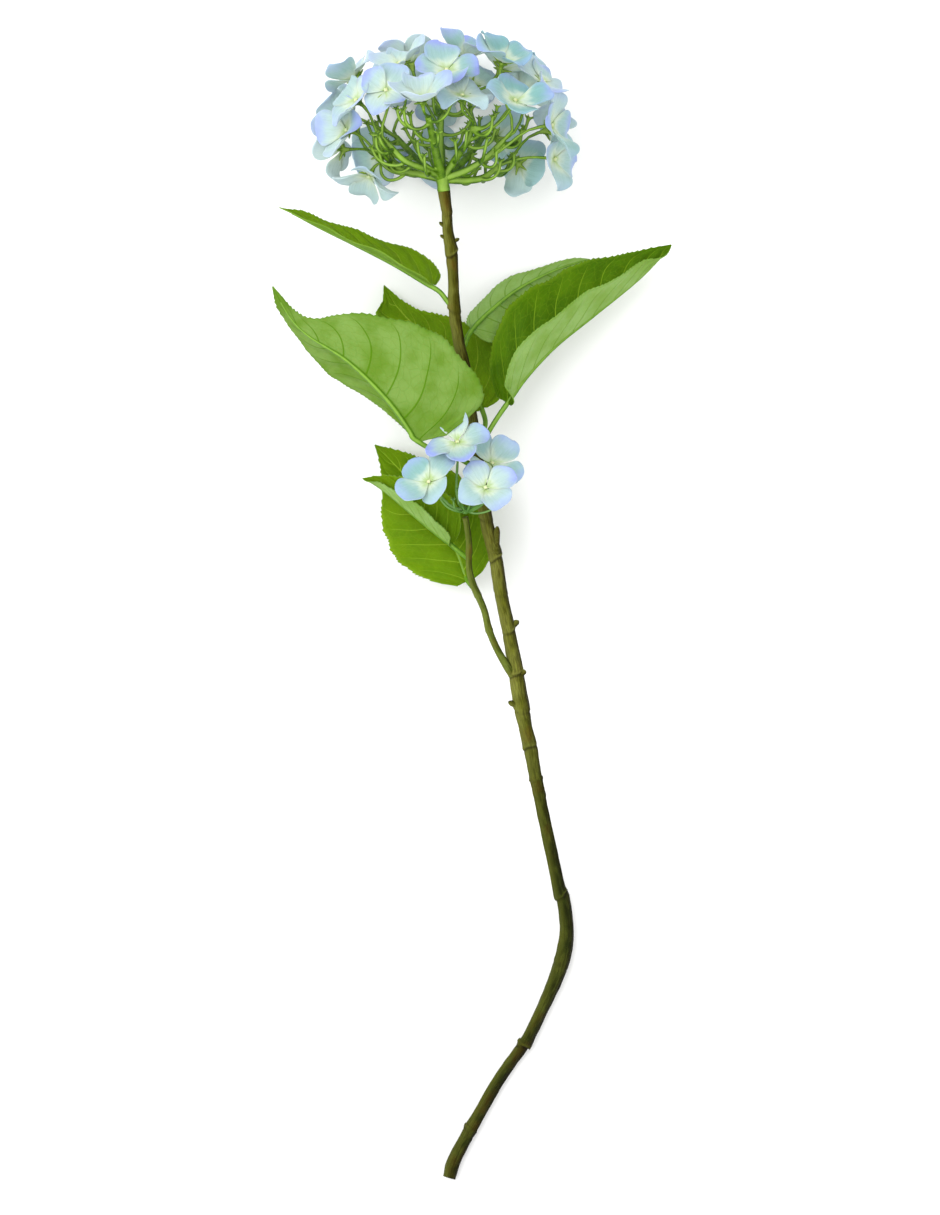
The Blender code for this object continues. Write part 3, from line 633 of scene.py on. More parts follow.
def blade_points(leaf, rows, half):
    """The blade's middle sheet: a grid drawn out along the spine, each side folded and curled."""
    spine = even_points(smooth_route(leaf["spine"], 1.0), rows) + DRAWING_SHIFT
    ahead = unit(np.gradient(spine, axis=0))
    share = np.linspace(0, 1, rows + 1)[:, None]
    faces = unit(leaf["face"])
    up = faces[0] * (1 - share) + faces[1] * share
    up = unit(up - ahead * np.sum(up * ahead, axis=1, keepdims=True))
    side = np.cross(ahead, up)
    across = np.linspace(-1, 1, 2 * half + 1)[None]
    reach = np.abs(across)
    right = (across > 0).astype(float)
    width = np.where(across > 0, leaf["width"][0], leaf["width"][1])
    fold = np.where(across > 0, leaf["fold"][0], leaf["fold"][1])
    curl = np.where(across > 0, leaf["curl"][0], leaf["curl"][1])
    length = lengths_along(spine)[-1]
    phase = share * length / TOOTH_PITCH + 0.3 * np.sin(share * 37.0 + right * 2) + right * 0.4
    tooth = (phase % 1.0) ** 1.4 * TOOTH_DEPTH * ease(0.03, 0.1, share) * ease(1.0, 0.93, share)
    wave = 1 + 0.018 * np.sin(share * 21 + right * 1.9) + 0.012 * np.sin(share * 47 + right)
    right_outline, left_outline = (leaf_width(share, outline) for outline in leaf["outline"])
    outline = np.where(across > 0, right_outline, left_outline)
    edge = width * outline * wave
    out = reach * (edge + (tooth - 0.4) * reach**8 * ease(0, 6, edge))
    angle = np.radians(fold + curl * reach) * fold_share(share)
    out_side = np.cos(angle) * out * np.sign(across)
    out_up = np.sin(angle) * out
    flutter = leaf["wave"] * reach**2.5 * ease(0.04, 0.2, share) * ease(1.0, 0.85, share)
    flutter = flutter * np.sin(share * leaf["waves"] * 2 * math.pi + right * 2.1 + leaf["veins"])
    lobe = np.where(across > 0, leaf["lobe"][0], leaf["lobe"][1])
    back = np.cross(side, up)[:, None] * (edge * reach * lobe * (1 - share) ** 4)[..., None]
    points = spine[:, None] + side[:, None] * out_side[..., None]
    points = points + up[:, None] * out_up[..., None] + back
    quilt = -QUILT * np.cos(2 * math.pi * vein_phase(across, share, leaf))
    quilt = quilt * ease(0.02, 0.3, reach) * ease(1.0, 0.8, reach) * ease(0, 14, edge)
    trough = -TROUGH * np.exp(-((reach * edge / 2.0) ** 2)) * ease(0, 10, edge)
    points = points + grid_normals(points) * (quilt + trough + flutter)[..., None]
    return above_floor(points), up, edge


def make_leaf(name, leaf):
    """One leaf: the veined blade, its midrib on the underside, and its petiole."""
    points, up, edge = blade_points(leaf, LEAF_ROWS, HALF_COLUMNS)
    across = np.linspace(-1, 1, 2 * HALF_COLUMNS + 1)[None]
    share = np.linspace(0, 1, LEAF_ROWS + 1)[:, None]
    phase = vein_phase(across, share, leaf)
    offset = np.abs(phase - np.round(phase))
    rib = np.clip(1 - offset / 0.055, 0, 1) ** 0.7 * ease(0.95, 0.5, np.abs(across)) * ease(0, 12, edge)
    rib = rib * ease(0.02, 0.08, share)
    work = Patchwork()
    even = np.full(points.shape[:2], BLADE)
    add_sheet(work, points, even, even + RIB * rib, (leaf["veins"] / 20, leaf["tint"]))
    petiole = np.array(leaf["petiole"], float) + DRAWING_SHIFT
    root = petiole[0] - unit(petiole[1] - petiole[0]) * 0.5
    middle = points[:, HALF_COLUMNS]
    thick = 1.55 * (1 - share[:, 0]) ** 0.8 + 0.18
    under = middle - up * (BLADE + 0.45 * thick)[:, None]
    foot = leaf["foot"]
    girths = (foot, foot * 0.86, 1.65, 1.6)
    way_in = [(*place, wide) for place, wide in zip([root, *petiole], girths)]
    rib_rows = range(MIDRIB_START, int(LEAF_ROWS * 0.93), MIDRIB_STEP)
    midrib = [(*under[i], thick[i]) for i in rib_rows]
    route = smooth_route([*way_in, *midrib], 1.2)
    turn = turns(14)
    ribbed = 1 + 0.06 * np.cos(3 * turn + 0.6)[None]
    add_tube(work, route, route[:, 3:4] * ribbed, len(turn), (0.0, leaf["tint"]), 2)
    finishes = [leaf_tops[leaf["top"]], leaf_unders[leaf["under"]], leaf_rib]
    show(name + "_blade", work.mesh(name + "_blade"), finishes, "leaf_blade", name)


# ---------------------------------------------------------------- head stalks

STALK_GIRTHS = (2.9, 2.5, 2.15, 1.8)  # radius of a head stalk at the hub and at its main points
STOUT_STALKS = {"stalk_front": 1.25, "stalk_left": 1.05, "stalk_right_low": 1.05}
BRANCHLETS = (1, 2, 3)  # at each main point of a head stalk, from the hub outwards
BRANCHLET_RADIUS = 1.22
STALK_GRAIN = 0.42  # how finely a stalk and its branchlets are melted together
CLUSTER_GRAIN = 0.36
CALYX_GRAIN = 0.4


def star_bud(work, place, way, size, points_count, lean):
    """A small green star: a round knot with pointed tips that lean forward."""
    way = unit(way)
    side = unit(np.cross(way, (0.42, 0.31, 0.85)))
    other = np.cross(way, side)
    shape = ((-1.1, 0.42), (0, 0.62), (0.35, 0.3))
    knot = [(*(place + way * size * up), size * wide) for up, wide in shape]
    route = smooth_route(knot, size * 0.3)
    add_tube(work, route, route[:, 3], 10)
    for k in range(points_count):
        turn = 2 * math.pi * (k + 0.2) / points_count
        out = side * math.cos(turn) + other * math.sin(turn)
        tip = [
            (*(place + out * size * 0.2), size * 0.36),
            (*(place + out * size * 0.75 + way * size * lean * 0.35), size * 0.30),
            (*(place + out * size * 1.35 + way * size * lean), size * 0.14),
        ]
        route = smooth_route(tip, size * 0.3)
        add_tube(work, route, route[:, 3], 8)


def branchlet(work, start, leave, end_way, length, radius, size):
    """A short stalk that swings out and then curls up, with a star at its end."""
    leave, end_way = unit(leave), unit(end_way)
    points = [
        (*start, radius * 1.2),
        (*(start + (leave * 0.30 - end_way * 0.06) * length), radius),
        (*(start + (leave * 0.60 + end_way * 0.04) * length), radius * 0.96),
        (*(start + (leave * 0.78 + end_way * 0.28) * length), radius * 0.92),
        (*(start + (leave * 0.80 + end_way * 0.58) * length), radius * 0.92),
    ]
    route = above_floor(smooth_route(points, 1.0))
    add_tube(work, route, route[:, 3], 12)
    last_way = unit(end_way + leave * 0.1)
    star_bud(work, route[-1, :3] + last_way * size * 0.5, last_way, size, 5, 0.7)


def cad_patch(node):
    """The plain solid's own points and faces, as one patch in millimetres."""
    work = Patchwork()
    work.points.append(solid_points(node))
    work.count = len(work.points[0])
    for face in frame["nodes"][node].data.polygons:
        work.faces.append(list(face.vertices))
        work.charts.append(np.zeros((len(face.vertices), 4)))
        work.finishes.append(0)
    return work


def make_head_stalk(name, trunk, number):
    """One forked stalk with its short branchlets, melted into one smooth green piece."""
    work = cad_patch(name)
    hub = HUB + DRAWING_SHIFT
    draw = random.Random(11 * number + 5)
    stout = STOUT_STALKS.get(name, 1.0)
    places = [hub + np.array(point, float) for point in trunk]
    girths = [wide * stout for wide in STALK_GIRTHS]
    route = smooth_route([(*p, wide) for p, wide in zip([hub, *places], girths)], 1.0)
    add_tube(work, route, route[:, 3], 16)
    upward = np.array((0.0, 1.0, 0.0))
    for i, place in enumerate(places):
        back = places[i - 1] if i else hub
        along = unit(place - back)
        away = unit((place - hub) * (1, 0, 1) + (1e-6, 0, 0))
        sideways = unit(np.cross(along, upward) + (1e-6, 0, 0))
        for _ in range(BRANCHLETS[i]):
            swing = draw.uniform(-1.5, 1.5)
            leave = away * draw.uniform(0.2, 1.0) + sideways * swing + upward * draw.uniform(-0.35, 0.15)
            end_way = upward + away * draw.uniform(-0.1, 0.5) + sideways * swing * 0.25
            start = back + (place - back) * draw.uniform(0.55, 1.0)
            length, size = draw.uniform(16, 25), draw.uniform(2.0, 2.6)
            branchlet(work, start, leave, end_way, length, BRANCHLET_RADIUS, size)
    mesh = blended(work, name + "_green", STALK_GRAIN, 4)
    show(name + "_green", mesh, [stalk_green], "green_stalk", name)


def make_neck():
    """The green funnel that gathers all head stalks on top of the woody stem."""
    hub = HUB + DRAWING_SHIFT
    way = unit((-0.8, 6.0, 0.6))
    below = ((-9.0, 2.6), (-8.2, 3.9), (-7.0, 4.3), (-3.5, 4.0))
    above = ((0.0, 4.9), (3.0, 5.3), (6.0, 4.7), (8.5, 3.2), (10.0, 1.2))
    route = smooth_route([(*(hub + way * part), wide) for part, wide in below + above], 0.4)
    turn = turns(28)
    fluted = 1 + 0.05 * np.cos(7 * turn)[None] * ease(-8, 2, (route[:, :3] - hub) @ way)[:, None]
    work = Patchwork()
    add_tube(work, route, route[:, 3:4] * fluted, len(turn))
    show("head_neck", work.mesh("head_neck"), [stalk_green], "green_stalk")


def make_cluster_stalks():
    """The forked stalks of the small cluster, melted into one smooth green piece."""
    work = cad_patch("cluster_stalks")
    hub = CLUSTER_HUB + DRAWING_SHIFT
    arcs = [
        ((-1.0, 0.1, 0.5), (-0.3, 1.0, 0.3), 20),
        ((-0.7, -0.1, 0.9), (-0.1, 1.0, 0.5), 14),
        ((0.3, 0.1, 1.0), (0.1, 1.0, 0.3), 12),
        ((1.0, 0.15, 0.6), (0.4, 1.0, 0.3), 17),
        ((1.0, -0.1, 0.2), (0.6, 1.0, 0.1), 24),
        ((-0.2, 0.3, 1.0), (-0.2, 1.0, 0.4), 17),
    ]
    for leave, end_way, length in arcs:
        branchlet(work, hub, leave, end_way, length, 0.8, 1.6)
    mesh = blended(work, "cluster_stalks_green", CLUSTER_GRAIN, 3)
    show("cluster_stalks_green", mesh, [stalk_pale], "green_stalk", "cluster_stalks")


# ---------------------------------------------------------------- florets

PETAL_ROWS = 20
PETAL_COLUMNS = 24
PETAL = 0.22  # half the thickness of a petal
SLIM_PETALS = 0.88  # how much narrower the small cluster's petals are
LARGE_FLORETS = {
    "cluster_floret_top": 1.08,
    "cluster_floret_right_top": 1.06,
    "cluster_floret_left": 1.06,
}
USUAL_RADIUS = 20.5  # of a floret whose seat, bead and calyx have their plain size
SEAT_HEIGHT = 5.0  # from the foot of a calyx up to where the petals leave it
CORE_RADIUS = 2.6  # a floret's solid has only its calyx this near to its axis


def floret_place(node):
    """Seat, facing, first petal's direction, size and openness, read from the plain solid."""
    points = solid_points(node)
    middle = points.mean(axis=0)
    spread = np.linalg.eigh(np.cov((points - middle).T))
    facing = spread[1][:, 0]
    for _ in range(3):
        up = (points - middle) @ facing
        off_axis = np.linalg.norm(points - middle - up[:, None] * facing, axis=1)
        core = points[off_axis < CORE_RADIUS]
        core_up = (core - middle) @ facing
        foot = core[np.argmax(np.abs(core_up))]
        near_foot = core[np.linalg.norm(core - foot, axis=1) < 2.7]
        foot = near_foot[np.abs((near_foot - foot) @ facing) < 0.5].mean(axis=0)
        if (middle - foot) @ facing < 0:
            facing = -facing
        rim_up = (points - foot) @ facing
        rim_off = points - foot - rim_up[:, None] * facing
        far = np.linalg.norm(rim_off, axis=1)
        tips = points[far > far.max() * 0.93]
        facing = unit(tips.mean(axis=0) - foot)
    tip = points[np.argmax(far)]
    radius = far.max()
    size = radius / USUAL_RADIUS
    seat = foot + facing * SEAT_HEIGHT * size
    rise = (tip - seat) @ facing
    first = unit(tip - seat - facing * rise)
    return seat, facing, first, radius, rise / radius


def petal_grid(radius, openness, draw, slim=1.0):
    """One petal as a grid of points, lying along +X from a floret that faces +Z, and its chart."""
    a, b = np.meshgrid(np.linspace(-1, 1, PETAL_COLUMNS + 1), np.linspace(-1, 1, PETAL_ROWS + 1))
    round_a = a * np.sqrt(1 - b * b / 2)
    round_b = b * np.sqrt(1 - a * a / 2)
    along = (round_b + 1) / 2
    length = radius * draw.uniform(0.92, 1.09)
    half = radius * draw.uniform(0.50, 0.60) * slim
    taper = 0.20 + 0.80 * ease(-0.10, 0.52, along)
    point = 1 + draw.uniform(-0.06, 0.08) * np.cos(round_a * math.pi) * along**4
    edge = np.clip(round_a**2 + round_b**2, 0, 1) ** 2
    bow = draw.uniform(-0.10, 0.10) * radius * along**2
    y = -round_a * half * taper + bow
    x = 0.6 + (length - 0.6) * along * point
    reach = np.hypot(x, y * 0.7) / radius
    lift = openness + draw.uniform(-0.28, 0.34)
    z = lift * radius * reach**1.3
    side = draw.uniform(0.02, 0.42)
    z = z + side * half * round_a**2 * ease(0.10, 0.6, along)
    curl = draw.uniform(-0.34, 0.12)
    z = z + curl * radius * ease(0.50, 1.05, along) ** 2
    ruffle = 0.9 * np.sin(round_a * draw.uniform(3.0, 5.0) + draw.uniform(0, 6)) * along
    ruffle = ruffle + 0.7 * np.sin(along * draw.uniform(6, 10) + draw.uniform(0, 6)) * np.sign(a)
    z = z + ruffle * edge * ease(0.2, 0.5, along)
    channel = 0.30 * np.exp(-((round_a / 0.10) ** 2)) * ease(0.95, 0.3, along)
    pleats = 0.10 * np.cos(round_a * 21.0 + draw.uniform(0, 6)) * ease(0.05, 0.3, along)
    z = z - channel + pleats * ease(1.05, 0.7, along)
    twist = draw.uniform(-0.32, 0.32)
    z = z + twist * y * ease(0.1, 0.9, along)
    return np.stack([x, y, z], axis=-1), np.stack([(round_a + 1) / 2, along], axis=-1)


def make_floret(node, number, mood):
    """Four petals round a bead, and the green star calyx behind them."""
    seat, facing, first, radius, openness = floret_place(node)
    slim = SLIM_PETALS if node.startswith("cluster") else 1.0
    spread = radius * LARGE_FLORETS.get(node, 1.0)
    second = np.cross(facing, first)
    axes = np.stack([first, second, facing])
    draw = random.Random(31 * number + 7)
    work = Patchwork()
    for k in range(4):
        turn = k * math.pi / 2 + draw.uniform(-0.16, 0.16)
        grid, chart = petal_grid(spread, openness, draw, slim)
        grid[..., 2] += 0.45 if k % 2 else 0.0
        turned = np.stack(
            [
                grid[..., 0] * math.cos(turn) - grid[..., 1] * math.sin(turn),
                grid[..., 0] * math.sin(turn) + grid[..., 1] * math.cos(turn),
                grid[..., 2],
            ],
            axis=-1,
        )
        points = above_floor(turned @ axes + seat + facing * 0.2)
        violet = min(1.0, max(0.0, mood[0] + draw.uniform(-0.45, 0.35)))
        teal = min(1.0, max(0.0, mood[1] + draw.uniform(-0.35, 0.35)))
        even = np.full(points.shape[:2], PETAL)
        add_sheet(work, points, even, even, (violet, teal), chart)
    add_bead(work, seat + facing * 1.2, facing, 1.45, 0.75, 0.16, 2)
    finishes = [petal_face, petal_back, bead_cream]
    show(node + "_petals", work.mesh(node + "_petals"), finishes, "floret_petal", node)
    make_calyx(node, seat, facing, first, second, radius, openness)


def make_calyx(node, seat, facing, first, second, radius, openness):
    """The green cone behind a floret and its five small leaves under the petals."""
    work = Patchwork()
    size = radius / USUAL_RADIUS
    shape = ((-5.6, 1.1), (-5.0, 1.35), (-3.6, 1.55), (-2.2, 2.1), (-0.9, 2.7), (0.1, 2.6))
    cone = smooth_route([(*(seat + facing * up * size), wide * size) for up, wide in shape], 0.5)
    add_tube(work, cone, cone[:, 3], 16)
    for k in range(5):
        turn = 2 * math.pi * k / 5 + 0.4
        out = first * math.cos(turn) + second * math.sin(turn)
        tip = []
        for reach, wide in ((1.2, 1.0), (3.2, 0.95), (5.4, 0.75), (7.6, 0.35)):
            under = openness * radius * (reach / radius) ** 1.3 - 1.0 - 0.9 * (reach < 2)
            tip.append((*(seat + out * reach + facing * under), wide * size))
        route = smooth_route(tip, 0.5)
        add_tube(work, route, route[:, 3], 10)
    mesh = blended(work, node + "_calyx", CALYX_GRAIN, 2)
    show(node + "_calyx", mesh, [calyx_green], "green_stalk")


# ---------------------------------------------------------------- finishes

BRIGHT = 1.2  # how much brighter than plain daylight the studio is


def chart_colour(red, green, blue):
    """A colour-card value, 0 to 255, as seen in the bright studio, as a shader's linear colour."""
    parts = []
    for value in (red, green, blue):
        value = value / 255
        plain = value / 12.92 if value <= 0.04045 else ((value + 0.055) / 1.055) ** 2.4
        parts.append(plain / BRIGHT)
    return (*parts, 1.0)


class Wiring:
    """Short ways to place and join the nodes of one finish or shared effect."""

    def __init__(self, tree):
        self.tree = tree

    def node(self, kind, **settings):
        """A new node with its settings."""
        made = self.tree.nodes.new(kind)
        for key, value in settings.items():
            setattr(made, key, value)
        return made

    def feed(self, socket, value):
        """Joins a socket to another, or sets its plain value."""
        if isinstance(value, bpy.types.NodeSocket):
            self.tree.links.new(value, socket)
        else:
            socket.default_value = value

    def sum(self, operation, first, second=0.0, third=0.0, clamp=False):
        """One step of arithmetic."""
        made = self.node("ShaderNodeMath", operation=operation, use_clamp=clamp)
        for socket, value in zip(made.inputs, (first, second, third)):
            self.feed(socket, value)
        return made.outputs[0]

    def fade(self, value, low, high, start=0.0, end=1.0):
        """start below low, end above high, and smooth between."""
        made = self.node("ShaderNodeMapRange", interpolation_type="SMOOTHSTEP")
        made.inputs["From Min"].default_value = low
        made.inputs["From Max"].default_value = high
        made.inputs["To Min"].default_value = start
        made.inputs["To Max"].default_value = end
        self.feed(made.inputs["Value"], value)
        return made.outputs[0]

    def blend(self, share, first, second, way="MIX"):
        """A share of the second colour over the first."""
        made = self.node("ShaderNodeMix", data_type="RGBA", blend_type=way, clamp_factor=True)
        self.feed(made.inputs["Factor"], share)
        self.feed(made.inputs[6], first)
        self.feed(made.inputs[7], second)
        return made.outputs[2]

    def cloud(self, place, scale, detail=2.0, rough=0.5, flat=False):
        """Soft random values, 0 to 1."""
        made = self.node("ShaderNodeTexNoise", noise_dimensions="2D" if flat else "3D")
        self.feed(made.inputs["Vector"], place)
        made.inputs["Scale"].default_value = scale
        made.inputs["Detail"].default_value = detail
        made.inputs["Roughness"].default_value = rough
        return made.outputs["Fac"]

    def bump(self, height, distance, strength=1.0):
        """A fine relief, as normals."""
        made = self.node("ShaderNodeBump")
        self.feed(made.inputs["Height"], height)
        made.inputs["Distance"].default_value = distance
        made.inputs["Strength"].default_value = strength
        return made.outputs[0]

    def chart(self, name):
        """The chart of a piece, by its name."""
        return self.node("ShaderNodeUVMap", uv_map=name).outputs[0]

    def spot(self):
        """The place on the flower, in metres."""
        return self.node("ShaderNodeTexCoord").outputs["Object"]

    def parts(self, vector):
        """The three numbers of a place or a chart."""
        made = self.node("ShaderNodeSeparateXYZ")
        self.feed(made.inputs[0], vector)
        return made.outputs

    def place(self, x, y, z=0.0):
        """A place made of three numbers."""
        made = self.node("ShaderNodeCombineXYZ")
        for socket, value in zip(made.inputs, (x, y, z)):
            self.feed(socket, value)
        return made.outputs[0]

    def shared(self, group, **values):
        """The outputs of a shared effect, fed by the names of its sockets."""
        made = self.node("ShaderNodeGroup", node_tree=group)
        for key, value in values.items():
            self.feed(made.inputs[key.replace("_", " ").title()], value)
        return made.outputs


def shared_effect(name, inputs, outputs):
    """An empty node group with named sockets, and its wiring and its two ends."""
    group = bpy.data.node_groups.new(name, "ShaderNodeTree")
    for label, kind in inputs:
        group.interface.new_socket(label, in_out="INPUT", socket_type=kind)
    for label in outputs:
        group.interface.new_socket(label, in_out="OUTPUT", socket_type="NodeSocketFloat")
    wires = Wiring(group)
    start = wires.node("NodeGroupInput")
    end = wires.node("NodeGroupOutput")
    return group, wires, start.outputs, end.inputs


def finish(name, **plain):
    """A new material with its plain values set, its wiring and its shader."""
    made = bpy.data.materials.new(name)
    made.use_nodes = True
    shader = made.node_tree.nodes["Principled BSDF"]
    for key, value in plain.items():
        shader.inputs[key.replace("_", " ")].default_value = value
    return made, Wiring(made.node_tree), shader


def make_leaf_veins():
    """Masks of a leaf's midrib, its side veins, and the fine net between them."""
    group, w, given, result = shared_effect(
        "leaf_veins",
        [("Chart", "NodeSocketVector"), ("Count", "NodeSocketFloat")],
        ["Midrib", "Side Veins", "Net", "Reach"],
    )
    across, along, _ = w.parts(given["Chart"])
    signed = w.sum("MULTIPLY_ADD", across, 2.0, -1.0)
    reach = w.sum("ABSOLUTE", signed)
    right = w.sum("GREATER_THAN", signed, 0.0)
    bend = w.sum("MULTIPLY_ADD", w.sum("MULTIPLY", reach, reach), 0.11, w.sum("MULTIPLY", reach, 0.13))
    phase = w.sum("MULTIPLY", w.sum("SUBTRACT", along, bend), given["Count"])
    phase = w.sum("MULTIPLY_ADD", right, 0.42, phase)
    offset = w.sum("ABSOLUTE", w.sum("SUBTRACT", w.sum("FRACT", phase), 0.5))
    from_vein = w.sum("SUBTRACT", 0.5, offset)
    width = w.sum("MULTIPLY_ADD", reach, -0.030, 0.050)
    side = w.fade(w.sum("DIVIDE", from_vein, width), 0.25, 1.0, 1.0, 0.0)
    side = w.sum("MULTIPLY", side, w.fade(reach, 0.72, 0.97, 1.0, 0.0))
    w.feed(result["Side Veins"], side)
    w.feed(result["Midrib"], w.fade(reach, 0.012, 0.05, 1.0, 0.0))
    w.feed(result["Reach"], reach)
    cells = w.node("ShaderNodeTexVoronoi", voronoi_dimensions="2D", feature="DISTANCE_TO_EDGE")
    cell_across = w.sum("MULTIPLY_ADD", right, 31.0, w.sum("MULTIPLY", reach, 9.0))
    w.feed(cells.inputs["Vector"], w.place(cell_across, w.sum("MULTIPLY", phase, 3.2)))
    cells.inputs["Scale"].default_value = 1.0
    w.feed(result["Net"], w.fade(cells.outputs["Distance"], 0.01, 0.10, 1.0, 0.0))
    return group


def make_mottle():
    """Soft blotches with a fine grain over them."""
    group, w, given, result = shared_effect(
        "mottle", [("Place", "NodeSocketVector"), ("Size", "NodeSocketFloat")], ["Blotches", "Grain"]
    )
    scaled = w.node("ShaderNodeVectorMath", operation="SCALE")
    w.feed(scaled.inputs[0], given["Place"])
    w.feed(scaled.inputs["Scale"], given["Size"])
    w.feed(result["Blotches"], w.fade(w.cloud(scaled.outputs[0], 1.0, 3.0, 0.55), 0.32, 0.70))
    w.feed(result["Grain"], w.cloud(scaled.outputs[0], 14.0, 3.0, 0.6))
    return group


def make_bark_grain():
    """Lengthwise streaks, blotches and pores, wrapped round a branch with no seam."""
    group, w, given, result = shared_effect(
        "bark_grain",
        [("Chart", "NodeSocketVector"), ("Girth", "NodeSocketFloat"), ("Length", "NodeSocketFloat")],
        ["Streaks", "Blotches", "Pores"],
    )
    across, along, _ = w.parts(given["Chart"])
    turn = w.sum("MULTIPLY", across, 2 * math.pi)
    x = w.sum("MULTIPLY", w.sum("COSINE", turn), given["Girth"])
    y = w.sum("MULTIPLY", w.sum("SINE", turn), given["Girth"])
    z = w.sum("MULTIPLY", along, given["Length"])
    streak_place = w.place(x, y, w.sum("MULTIPLY", z, 0.10))
    w.feed(result["Streaks"], w.fade(w.cloud(streak_place, 1.15, 4.0, 0.6), 0.36, 0.66))
    blotch_place = w.place(x, y, w.sum("MULTIPLY", z, 0.5))
    w.feed(result["Blotches"], w.fade(w.cloud(blotch_place, 0.13, 2.0), 0.38, 0.64))
    pore_place = w.place(x, y, w.sum("MULTIPLY", z, 0.7))
    w.feed(result["Pores"], w.cloud(pore_place, 2.6, 3.0, 0.65))
    return group


def make_petal_tint():
    """Where a petal is tinted: its heart, its rim, and the fine veins that fan out from the heart."""
    group, w, given, result = shared_effect(
        "petal_tint",
        [("Chart", "NodeSocketVector"), ("Tone", "NodeSocketVector")],
        ["Heart", "Rim", "Veins", "Drift"],
    )
    across, along, _ = w.parts(given["Chart"])
    first, second, _ = w.parts(given["Tone"])
    reach = w.sum("ABSOLUTE", w.sum("MULTIPLY_ADD", across, 2.0, -1.0))
    seed = w.sum("MULTIPLY_ADD", first, 37.0, w.sum("MULTIPLY", second, 91.0))
    drift = w.cloud(w.place(w.sum("ADD", across, seed), along), 2.6, 2.0, 0.5, flat=True)
    w.feed(result["Drift"], drift)
    shaken = w.sum("MULTIPLY_ADD", w.sum("SUBTRACT", drift, 0.5), 0.35, along)
    w.feed(result["Heart"], w.fade(shaken, -0.05, 0.62, 1.0, 0.0))
    tip = w.fade(w.sum("MULTIPLY_ADD", reach, 0.10, shaken), 0.55, 1.04)
    flank = w.sum("MULTIPLY", w.fade(reach, 0.66, 1.0), w.fade(along, 0.25, 0.6))
    w.feed(result["Rim"], w.sum("MAXIMUM", tip, w.sum("MULTIPLY", flank, 0.55)))
    fan_place = w.place(w.sum("MULTIPLY_ADD", across, 26.0, seed), w.sum("MULTIPLY", along, 1.6))
    fan = w.cloud(fan_place, 1.0, 1.5, flat=True)
    lines = w.sum("ABSOLUTE", w.sum("MULTIPLY_ADD", fan, 2.0, -1.0))
    lines = w.fade(lines, 0.0, 0.22, 1.0, 0.0)
    w.feed(result["Veins"], w.sum("MULTIPLY", lines, w.fade(along, 1.0, 0.5)))
    return group


def make_leaf_finish(name, body, deep, vein, net, roughness, relief):
    """Leaf skin. net: how clear the fine net is. relief: positive where veins stand out."""
    made, w, shader = finish(name, Roughness=roughness, Specular_IOR_Level=0.03, Subsurface_Weight=0.06)
    shader.inputs["Subsurface Scale"].default_value = 0.001
    tone = w.parts(w.chart("tone"))
    veins = w.shared(leaf_veins, chart=w.chart("chart"), count=w.sum("MULTIPLY", tone[0], 20.0))
    spots = w.shared(mottle, place=w.spot(), size=55.0)
    skin = w.blend(w.sum("MULTIPLY", spots["Blotches"], 0.75), chart_colour(*body), chart_colour(*deep))
    skin = w.blend(w.sum("MULTIPLY", spots["Grain"], 0.22), skin, chart_colour(*vein))
    skin = w.blend(w.fade(veins["Reach"], 0.90, 1.0, 0.0, 0.35), skin, chart_colour(*vein))
    skin = w.blend(w.sum("MULTIPLY", veins["Net"], net), skin, chart_colour(*vein))
    lines = w.sum("MAXIMUM", w.sum("MULTIPLY", veins["Side Veins"], 0.85), veins["Midrib"])
    skin = w.blend(lines, skin, chart_colour(*vein))
    w.feed(shader.inputs["Base Color"], skin)
    height = w.sum("MULTIPLY_ADD", lines, relief, w.sum("MULTIPLY", veins["Net"], relief * 0.35))
    height = w.sum("MULTIPLY_ADD", spots["Grain"], 0.30, height)
    w.feed(shader.inputs["Normal"], w.bump(height, 0.0006, 0.5))
    return made


def make_green_finish(name, body, deep, light, roughness):
    """Smooth moulded green of stalks, petioles and calyces, with a painted highlight where it faces the
    view and painted shade towards its outline.
    """
    made, w, shader = finish(name, Roughness=roughness, Specular_IOR_Level=0.14)
    spots = w.shared(mottle, place=w.spot(), size=160.0)
    skin = w.blend(spots["Blotches"], chart_colour(*body), chart_colour(*deep))
    skin = w.blend(w.fade(spots["Grain"], 0.45, 0.75, 0.0, 0.40), skin, chart_colour(*light))
    # Painted light: lighter where the surface faces the view, darker towards its outline.
    turned = w.node("ShaderNodeLayerWeight").outputs["Facing"]
    skin = w.blend(w.fade(turned, 0.40, 0.04, 0.0, 0.60), skin, chart_colour(*light))
    skin = w.blend(w.fade(turned, 0.45, 0.95, 0.0, 0.75), skin, chart_colour(*deep))
    w.feed(shader.inputs["Base Color"], skin)
    w.feed(shader.inputs["Normal"], w.bump(spots["Grain"], 0.0004, 0.35))
    return made


LOW_SHADE = (0.42, 0.45, 0.26, 1.0)  # how much darker the bark is towards the cut end
RUST = chart_colour(104, 74, 22)


